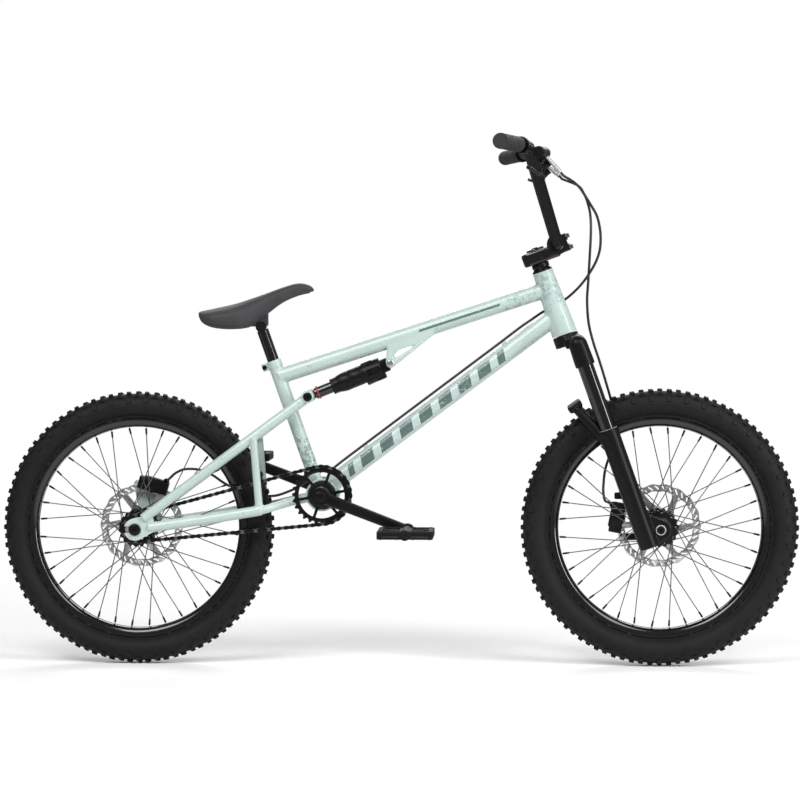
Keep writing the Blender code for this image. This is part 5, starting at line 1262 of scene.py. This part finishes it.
ridges = [shock_ring([(36.6, at), (36.6, at + 1), (35, at + 1), (35, at)]) for at in (76, 79, 104)]
fit(join(can, edged(head, 0.8), *knobs, *ridges, eye_ring(SHOCK_HEAD)), "shock_can", "shock_body", SATIN,
    "shock_body", angle=35)
shaft = rod(shock(13), shock(71), 22, sides=64)
clevis = block(shock(8), (16, 18, 16), SHOCK_AXIS, edge=2.5)
fit(join(shaft, clevis, eye_ring(SHOCK_FOOT)), "shock_rod", "shock_shaft", GLOSS, "shock_shaft", angle=35)
travel = spun([(24.8, -1.5), (25.4, -0.6), (25.4, 0.6), (24.8, 1.5), (22.5, 1.5), (22.5, -1.5)], shock(19),
              SHOCK_AXIS)
fit(travel, "travel_ring", "shock_shaft", RED, "shock_travel_ring")

# %% [markdown]
# The stem is a machined block split at the bar and held by four front bolts. Both halves are cut
# from blocks and bevelled, so their edges catch the light. The cap, cover and spacer round the
# steerer are turned.

# %% Stem and headset
BAR = 22.2
BAR_CENTRE = steer(102, 43)


def clamped(shape, face, *cuts):
    """Give a stem piece its round seat for the bar, cut off at a face, and bevel it."""
    united(shape, adds=[through(BAR_CENTRE, 24.8, 39.6, 64)],
           cuts=[block(*face, AHEAD), through(BAR_CENTRE, 40, BAR + 0.6), *cuts])
    return edged(shape, 0.6)


stem = clamped(block(steer(91.5, 7), (72, 44, 24.6), AHEAD, edge=4), (steer(102, 93), (100.3, 90, 100)),
               block(steer(91.5, -28), (30, 2.4, 40), AHEAD),
               *[block(steer(91.5, 20, y), (26, 6, 12), AHEAD) for y in (-23, 23)])
pinch = [cross_rod(steer(up, -22), *outward(side, 20, 22.4), 8, sides=24) for up in (84, 99) for side in BOTH]
fit(join(stem, *pinch), "stem_block", "steering", GLOSS, "stem_body", angle=35)
clamp = clamped(block(steer(100, 53), (24, 49.6, 33.6), AHEAD, edge=3), (steer(102, -6.9), (100, 90, 100)),
                block(steer(100, 66), (8, 60, 8), AHEAD))
fit(clamp, "stem_front", "steering", GLOSS, "stem_clamp", angle=35)
bolts = []
for up in (89, 111):
    for y in (-18, 18):
        spot = steer(up, 64.6, y)
        head = spun([(7.8, 0), (7.8, 4.4), (7, 5.2), (0.02, 5.2), (0.02, 0)], spot, AHEAD, 32)
        bolts.append(united(head, cuts=[rod(spot + AHEAD * 2.6, spot + AHEAD * 7, 4, sides=6)]))
fit(join(*bolts), "stem_bolts", "steering", DARK_STEEL)
cap = spun([(34, 104.3), (34, 106.8), (32, 108), (15, 108), (14, 107), (0.02, 107), (0.02, 104.3)], HEAD, UP)
cap_bolt = united(rod(steer(106.8), steer(109.8), 11.6, sides=32),
                  cuts=[rod(steer(107.6), steer(112), 5.8, sides=6)])
fit(join(cap, edged(cap_bolt, 0.4, 1)), "stem_cap", "steering", GLOSS, "stem_top_cap")
cover = spun([(38.5, 62.9), (38.5, 65), (37, 66.2), (33, 67.4), (31, 69.8), (29.2, 69.8), (29.2, 62.9)], HEAD, UP)
fit(cover, "headset_cover", "steering", ALLOY, "headset_top_cover")
spacer = spun([(33, 70.9), (33, 78.1), (32.4, 78.6), (29.2, 78.6), (29.2, 70.4), (32.4, 70.4)], HEAD, UP)
fit(spacer, "spacer", "steering", ALLOY, "headset_spacer")

# %% [markdown]
# The bar is one bent tube with a welded crossbar: small balls along the joint stand for the ripples
# of the weld. Its grips are soft ribbed rubber with a firm collar at the end, turned rib by rib.

# %% Handlebar and grips
def bar_ends(side):
    """The bar's upper bend, its end and the direction between them."""
    turn, end = place(741, 974, side * 127), place(691.5, 973.5, side * 365)
    return turn, end, (end - turn).normalized()


def weld_beads(side, share, count=26):
    """A row of small balls round one end of the crossbar, on the upright's skin."""
    low, turn = flat(BAR_CENTRE, side * 40), bar_ends(side)[0]
    rise = (turn - low).normalized()
    beads = []
    for index in range(count):
        angle = 2 * pi * index / count
        x, z = cos(angle) * 8.4, sin(angle) * 8.4
        inward = -side * sqrt(BAR ** 2 / 4 - x ** 2) / abs(rise.z)
        beads.append(ball(low.lerp(turn, share) + rise * (z / rise.z) + vec(x, inward, 0), 2.6, 8))
    return beads


(turn_r, end_r, out_r), (turn_l, end_l, out_l) = bar_ends(-1), bar_ends(1)
low_r, low_l = flat(BAR_CENTRE, -40), flat(BAR_CENTRE, 40)
bar = tube(rounded([end_r - out_r * 4, turn_r, low_r, low_l, turn_l, end_l - out_l * 4], 24, 8), BAR, 9)
share = (860 - low_r.z) / (turn_r.z - low_r.z)
united(bar, adds=[rod(low_r.lerp(turn_r, share), low_l.lerp(turn_l, share), 16)])
fit(join(bar, *weld_beads(-1, share), *weld_beads(1, share)), "bar_tube", "steering", SATIN, "handlebar",
    angle=50)


def make_grip(name, side):
    """A grip with fine ribs, a plain band and a flanged collar, turned along the bar's end."""
    _, end, out = bar_ends(side)
    profile = [(22.8, -4.4), (22.8, -145), (27.4, -145), (28.4, -144), (28.4, -139), (26.6, -138)]
    for rib in range(36):
        at = 3.5 * rib - 136
        profile += [(28.2, at), (28.2, at + 1.5), (27.1, at + 1.9), (27.1, at + 3.1)]
    profile += [(28.6, -10), (28.6, -1), (27.6, 0), (12, 0), (0.02, -0.4), (0.02, -3.4), (20, -3.4)]
    fit(spun(profile, end, out), "grip_" + name + "_rubber", "steering", SOFT, "grip_" + name, angle=30)


for name, side in RIGHT_LEFT:
    make_grip(name, side)

# %% [markdown]
# Each brake has a master cylinder clamped on the bar, a fitting for its hose and a blade lever on
# a pin. The master is a small casting, so it is united and melted. The lever is a tube whose
# thickness changes along its line.

# %% Brake masters and levers
def beside_bar(side, out_by, ahead_by, up_by):
    """A point measured from the brake's clamp: along the bar, ahead of it and above it."""
    turn, _, out = bar_ends(side)
    ahead = (vec(1, 0, 0) - out * out.x).normalized()
    return turn + out * (69 + out_by) + ahead * ahead_by + ahead.cross(out) * side * up_by


def about(point, axis, half, diameter, sides=48):
    """A rod that goes as far to both sides of a point."""
    return rod(point - axis * half, point + axis * half, diameter, sides=sides)


def make_brake(name, side, hose_end):
    """The master cylinder, its hose fitting and the lever; it returns where the hose starts."""
    _, _, out = bar_ends(side)
    band, centre, pivot = beside_bar(side, 0, 0, 0), beside_bar(side, 0, 38, -14), beside_bar(side, 0, 48, -36)
    to_grip = (band - beside_bar(side, 0, 42, -50)).normalized()
    across = out.cross(to_grip).normalized()
    body = about(centre, out, 30.6, 21.4)
    united(body, adds=[about(band, out, 6.8, 31.4), rod(band.lerp(centre, 0.3), centre, 12),
                       block(pivot + to_grip * 9, (11, 30, 14.4), out, to_grip)],
           cuts=[about(band, out, 14, 22.8), block(pivot, (30, 20, 8.7), out, to_grip)])
    cast(body, 1.0, 3)
    rings = [spun([(21.8, at), (21.8, at + 1.6), (19, at + 1.6), (19, at)], centre, out, 48)
             for at in (-26, -6, 24)]
    bolt = rod(band + across * 9, band + across * 15.2, 6, sides=6)
    fit(join(body, *rings, bolt, about(pivot, across, 6.4, 5, 32)), "master_" + name, "steering", SATIN,
        "brake_master_" + name, angle=45)
    fitting = beside_bar(side, -12, 38, -14)
    along = (hose_end - fitting).normalized()
    back = 7 - (hose_end - fitting).length
    sleeve = spun([(7.4, back), (7.4, -17), (8.8, -17), (8.8, -8), (7.2, -7), (7.2, 0), (5.2, 0), (5.2, back)],
                  hose_end - along * 0.3, along, 40)
    nut = rod(hose_end - along * 16, hose_end - along * 10, 8.9, sides=6)
    fit(join(sleeve, nut), "fitting_" + name, "steering", GREY, angle=30)
    blade = smooth([pivot + out * 4, beside_bar(side, 22, 48, -44), beside_bar(side, 42, 46, -56),
                    beside_bar(side, 80, 42, -50), beside_bar(side, 117, 38, -45)], 6)
    lever = tube(blade, 7.4, 6, [0.86 + 0.12 * cos(6 * i / len(blade)) for i in range(len(blade))])
    united(lever, adds=[about(pivot, across, 3.9, 11.8, 40), ball(blade[-1], 7.2)],
           cuts=[about(pivot, across, 8, 5.6, 32)])
    fit(lever, "lever_blade_" + name, "lever_" + name, SATIN, "lever_" + name, angle=45)
    return fitting, hose_end


rear_start = make_brake("right", -1, place(798, 926, -168))
front_start = make_brake("left", 1, place(799, 930, 166))

# %% [markdown]
# The right lever's hose runs down to the rear caliper along the down tube, held by two guides.
# The left lever's hose drops to the front caliper behind the fork leg. Each is a round tube along
# a smooth line.

# %% Brake hoses
HOSE = 4.96


def hose_path(start, route, fitting):
    """A hose's line, straight where it leaves the master and where it meets the caliper."""
    origin, end = start
    direction = (end - origin).normalized()
    away = ((route[-1] - fitting) * vec(1, 0, 1)).normalized()
    straight = [end + direction * by for by in (0.3, 5.3, 10.3)]
    return smooth([*straight, *route, fitting + away * 11.3, fitting + away * 6.3], 6)


def flexed(path, name, bodies, start, end, *nodes):
    """A round hose along a path, left on no body; bodies, start and end are not used."""
    hose = tube(path, HOSE, 5)
    fit(hose, name, None, HOSE_SKIN, *nodes, angle=60)
    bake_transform(hose)


FRONT_HOSE = [(835, 910, 120), (846, 893, 95), (853, 873, 72), (857, 852, 55), (858, 822, 42), (856, 778, 33),
              (853, 726, 31), (851, 690, 33), (854, 648, 39), (863, 611, 45), (874, 578, 51), (885, 543, 56),
              (897, 502, 61), (905, 470, 73), (908, 440, 86), (903, 412, 90), (894, 388, 84), (887, 366, 72),
              (884, 345, 60), (883, 325, 48), (886, 310, 39)]
REAR_HIGH = [(822, 909, -145), (835, 898, -118), (845, 884, -95), (855, 869, -75), (867, 849, -55),
             (873, 827, -38), (875, 808, -26), (874, 787, -14), (868, 766, -2), (857, 745, 9), (844, 726, 18),
             (828, 708, 27), (809, 692, 33), (790, 682, 35), (775, 673, 32), (760, 664, 24), (744, 653, 12),
             (725, 640, 3)]
REAR_LOW = [(350, 367, 14), (328, 352, 26), (305, 337, 37), (285, 326, 40), (251, 316, 40), (210, 322, 39),
            (167, 336, 38), (136, 356, 38), (111, 366, 39), (84, 367, 40), (66, 360, 40.35)]
front_hose = hose_path(front_start, [place(*p) for p in FRONT_HOSE], banjo_place(FRONT, FRONT_TURN, 35.35))
flexed(front_hose, "hose_front", ("steering", "fork_lowers"), place(854, 648, 39), place(884, 345, 60),
       "front_hose")
middle = [on_tube(DOWN_REAR, DOWN_AXIS, x, 23) for x in (700, 650, 600, 550, 500, 450, 410, 376)]
rear_route = [place(*p) for p in REAR_HIGH] + middle + [place(*p) for p in REAR_LOW]
rear_hose = hose_path(rear_start, rear_route, banjo_place(REAR, REAR_TURN, 40.35))
halfway = min(range(len(rear_hose)), key=lambda i: (rear_hose[i] - middle[4]).length)
flexed(rear_hose[:halfway + 1], "hose_rear_upper", ("frame", "steering"), place(740, 650, 8),
       place(835, 898, -118), "rear_hose")
flexed(rear_hose[halfway:], "hose_rear_lower", ("frame", "swingarm"), place(330, 353, 25), place(210, 322, 39),
       "rear_hose")

# %% [markdown]
# The last CAD pieces that stay are hidden bearings and a sleeve. They keep their CAD shape and
# take the steel finish, so that nothing in the model is left as a single flat colour.

# %% Hidden pieces
for name in ("headset_upper_bearing", "headset_lower_bearing", "bb_bearing_right", "bb_bearing_left",
             "bb_sleeve"):
    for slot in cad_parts[name].material_slots:
        slot.material = STEEL
print("hidden pieces finished")

# %% [markdown]
# The photograph was made on white paper in soft studio light. A pale floor, three wide lamps and
# an even white surround give the same look. A tall strip of light draws the bright streaks on the
# tubes. Only the camera sees the surround as pure white; it lights the bike more softly.

# %% Floor and light
bpy.ops.mesh.primitive_plane_add(size=5.0)
floor = bpy.context.object
floor.name = "floor"
floor_finish = bpy.data.materials.new("pale_floor")
floor_finish.use_nodes = True
paper = floor_finish.node_tree
paper_shader = feed(paper, paper.nodes["Principled BSDF"], Base_Color=(0.9, 0.9, 0.9, 1), Roughness=0.95)
away = node(paper, "VectorMath", node(paper, "TexCoord").outputs["Object"], _operation="LENGTH")
fade = node(paper, "MapRange", away.outputs["Value"], 0.9, 2.2, _interpolation_type="SMOOTHSTEP")
clear = node(paper, "BsdfTransparent")
soft_edge = node(paper, "MixShader", fade.outputs["Result"], paper_shader.outputs[0], clear.outputs[0])
feed(paper, paper.nodes["Material Output"], Surface=soft_edge.outputs[0])
floor.data.materials.append(floor_finish)


def lamp(name, spot, size, power, target=(0, 0, 0.45)):
    """A rectangular lamp that looks at a target."""
    light = bpy.data.lights.new(name, "AREA")
    light.shape = "RECTANGLE"
    light.size, light.size_y = size
    light.energy = power
    item = added(name, light)
    item.location = spot
    item.rotation_euler = (Vector(target) - Vector(spot)).to_track_quat("-Z", "Y").to_euler()


lamp("overhead_left", (-1.6, -2.6, 3.2), (2.6, 1.8), 116)
lamp("overhead_right", (2.2, -2.0, 2.8), (2.2, 1.8), 74)
lamp("behind", (0.2, 3.0, 2.6), (3.5, 1.6), 76)
lamp("strip", (3.0, -1.6, 0.9), (0.45, 1.8), 44)

world = bpy.data.worlds.new("white_surround")
bpy.context.scene.world = world
world.use_nodes = True
sky = world.node_tree
sky.nodes.clear()
soft_light = node(sky, "Background", Color=(1, 1, 1, 1), Strength=0.24)
white = node(sky, "Background", Color=(1, 1, 1, 1), Strength=1.0)
ray = node(sky, "LightPath").outputs["Is Camera Ray"]
choice = node(sky, "MixShader", ray, soft_light.outputs[0], white.outputs[0])
node(sky, "OutputWorld", Surface=choice.outputs[0])
print("lit by", len(bpy.data.lights), "lamps and a white surround")

# %% [markdown]
# The camera stands about five and a half metres off the bike's right side, at saddle height,
# looking very slightly down and to the left, which is where the lines of the photograph meet.

# %% Camera
camera_data = bpy.data.cameras.new("camera")
camera_data.lens = 131.05
camera_data.sensor_width = 36.0
camera = added("camera", camera_data)
yaw, pitch = radians(-2.74), radians(2.35)
look = vec(sin(yaw) * cos(pitch), cos(yaw) * cos(pitch), -sin(pitch))
right = vec(cos(yaw), -sin(yaw), 0)
camera.matrix_world = Matrix.Translation((0.265, -5.502, 0.728)) @ turned(right, right.cross(look), -look)
bpy.context.scene.camera = camera
bpy.context.scene.view_settings.view_transform = "Standard"
print("camera at", [round(c, 3) for c in camera.location])
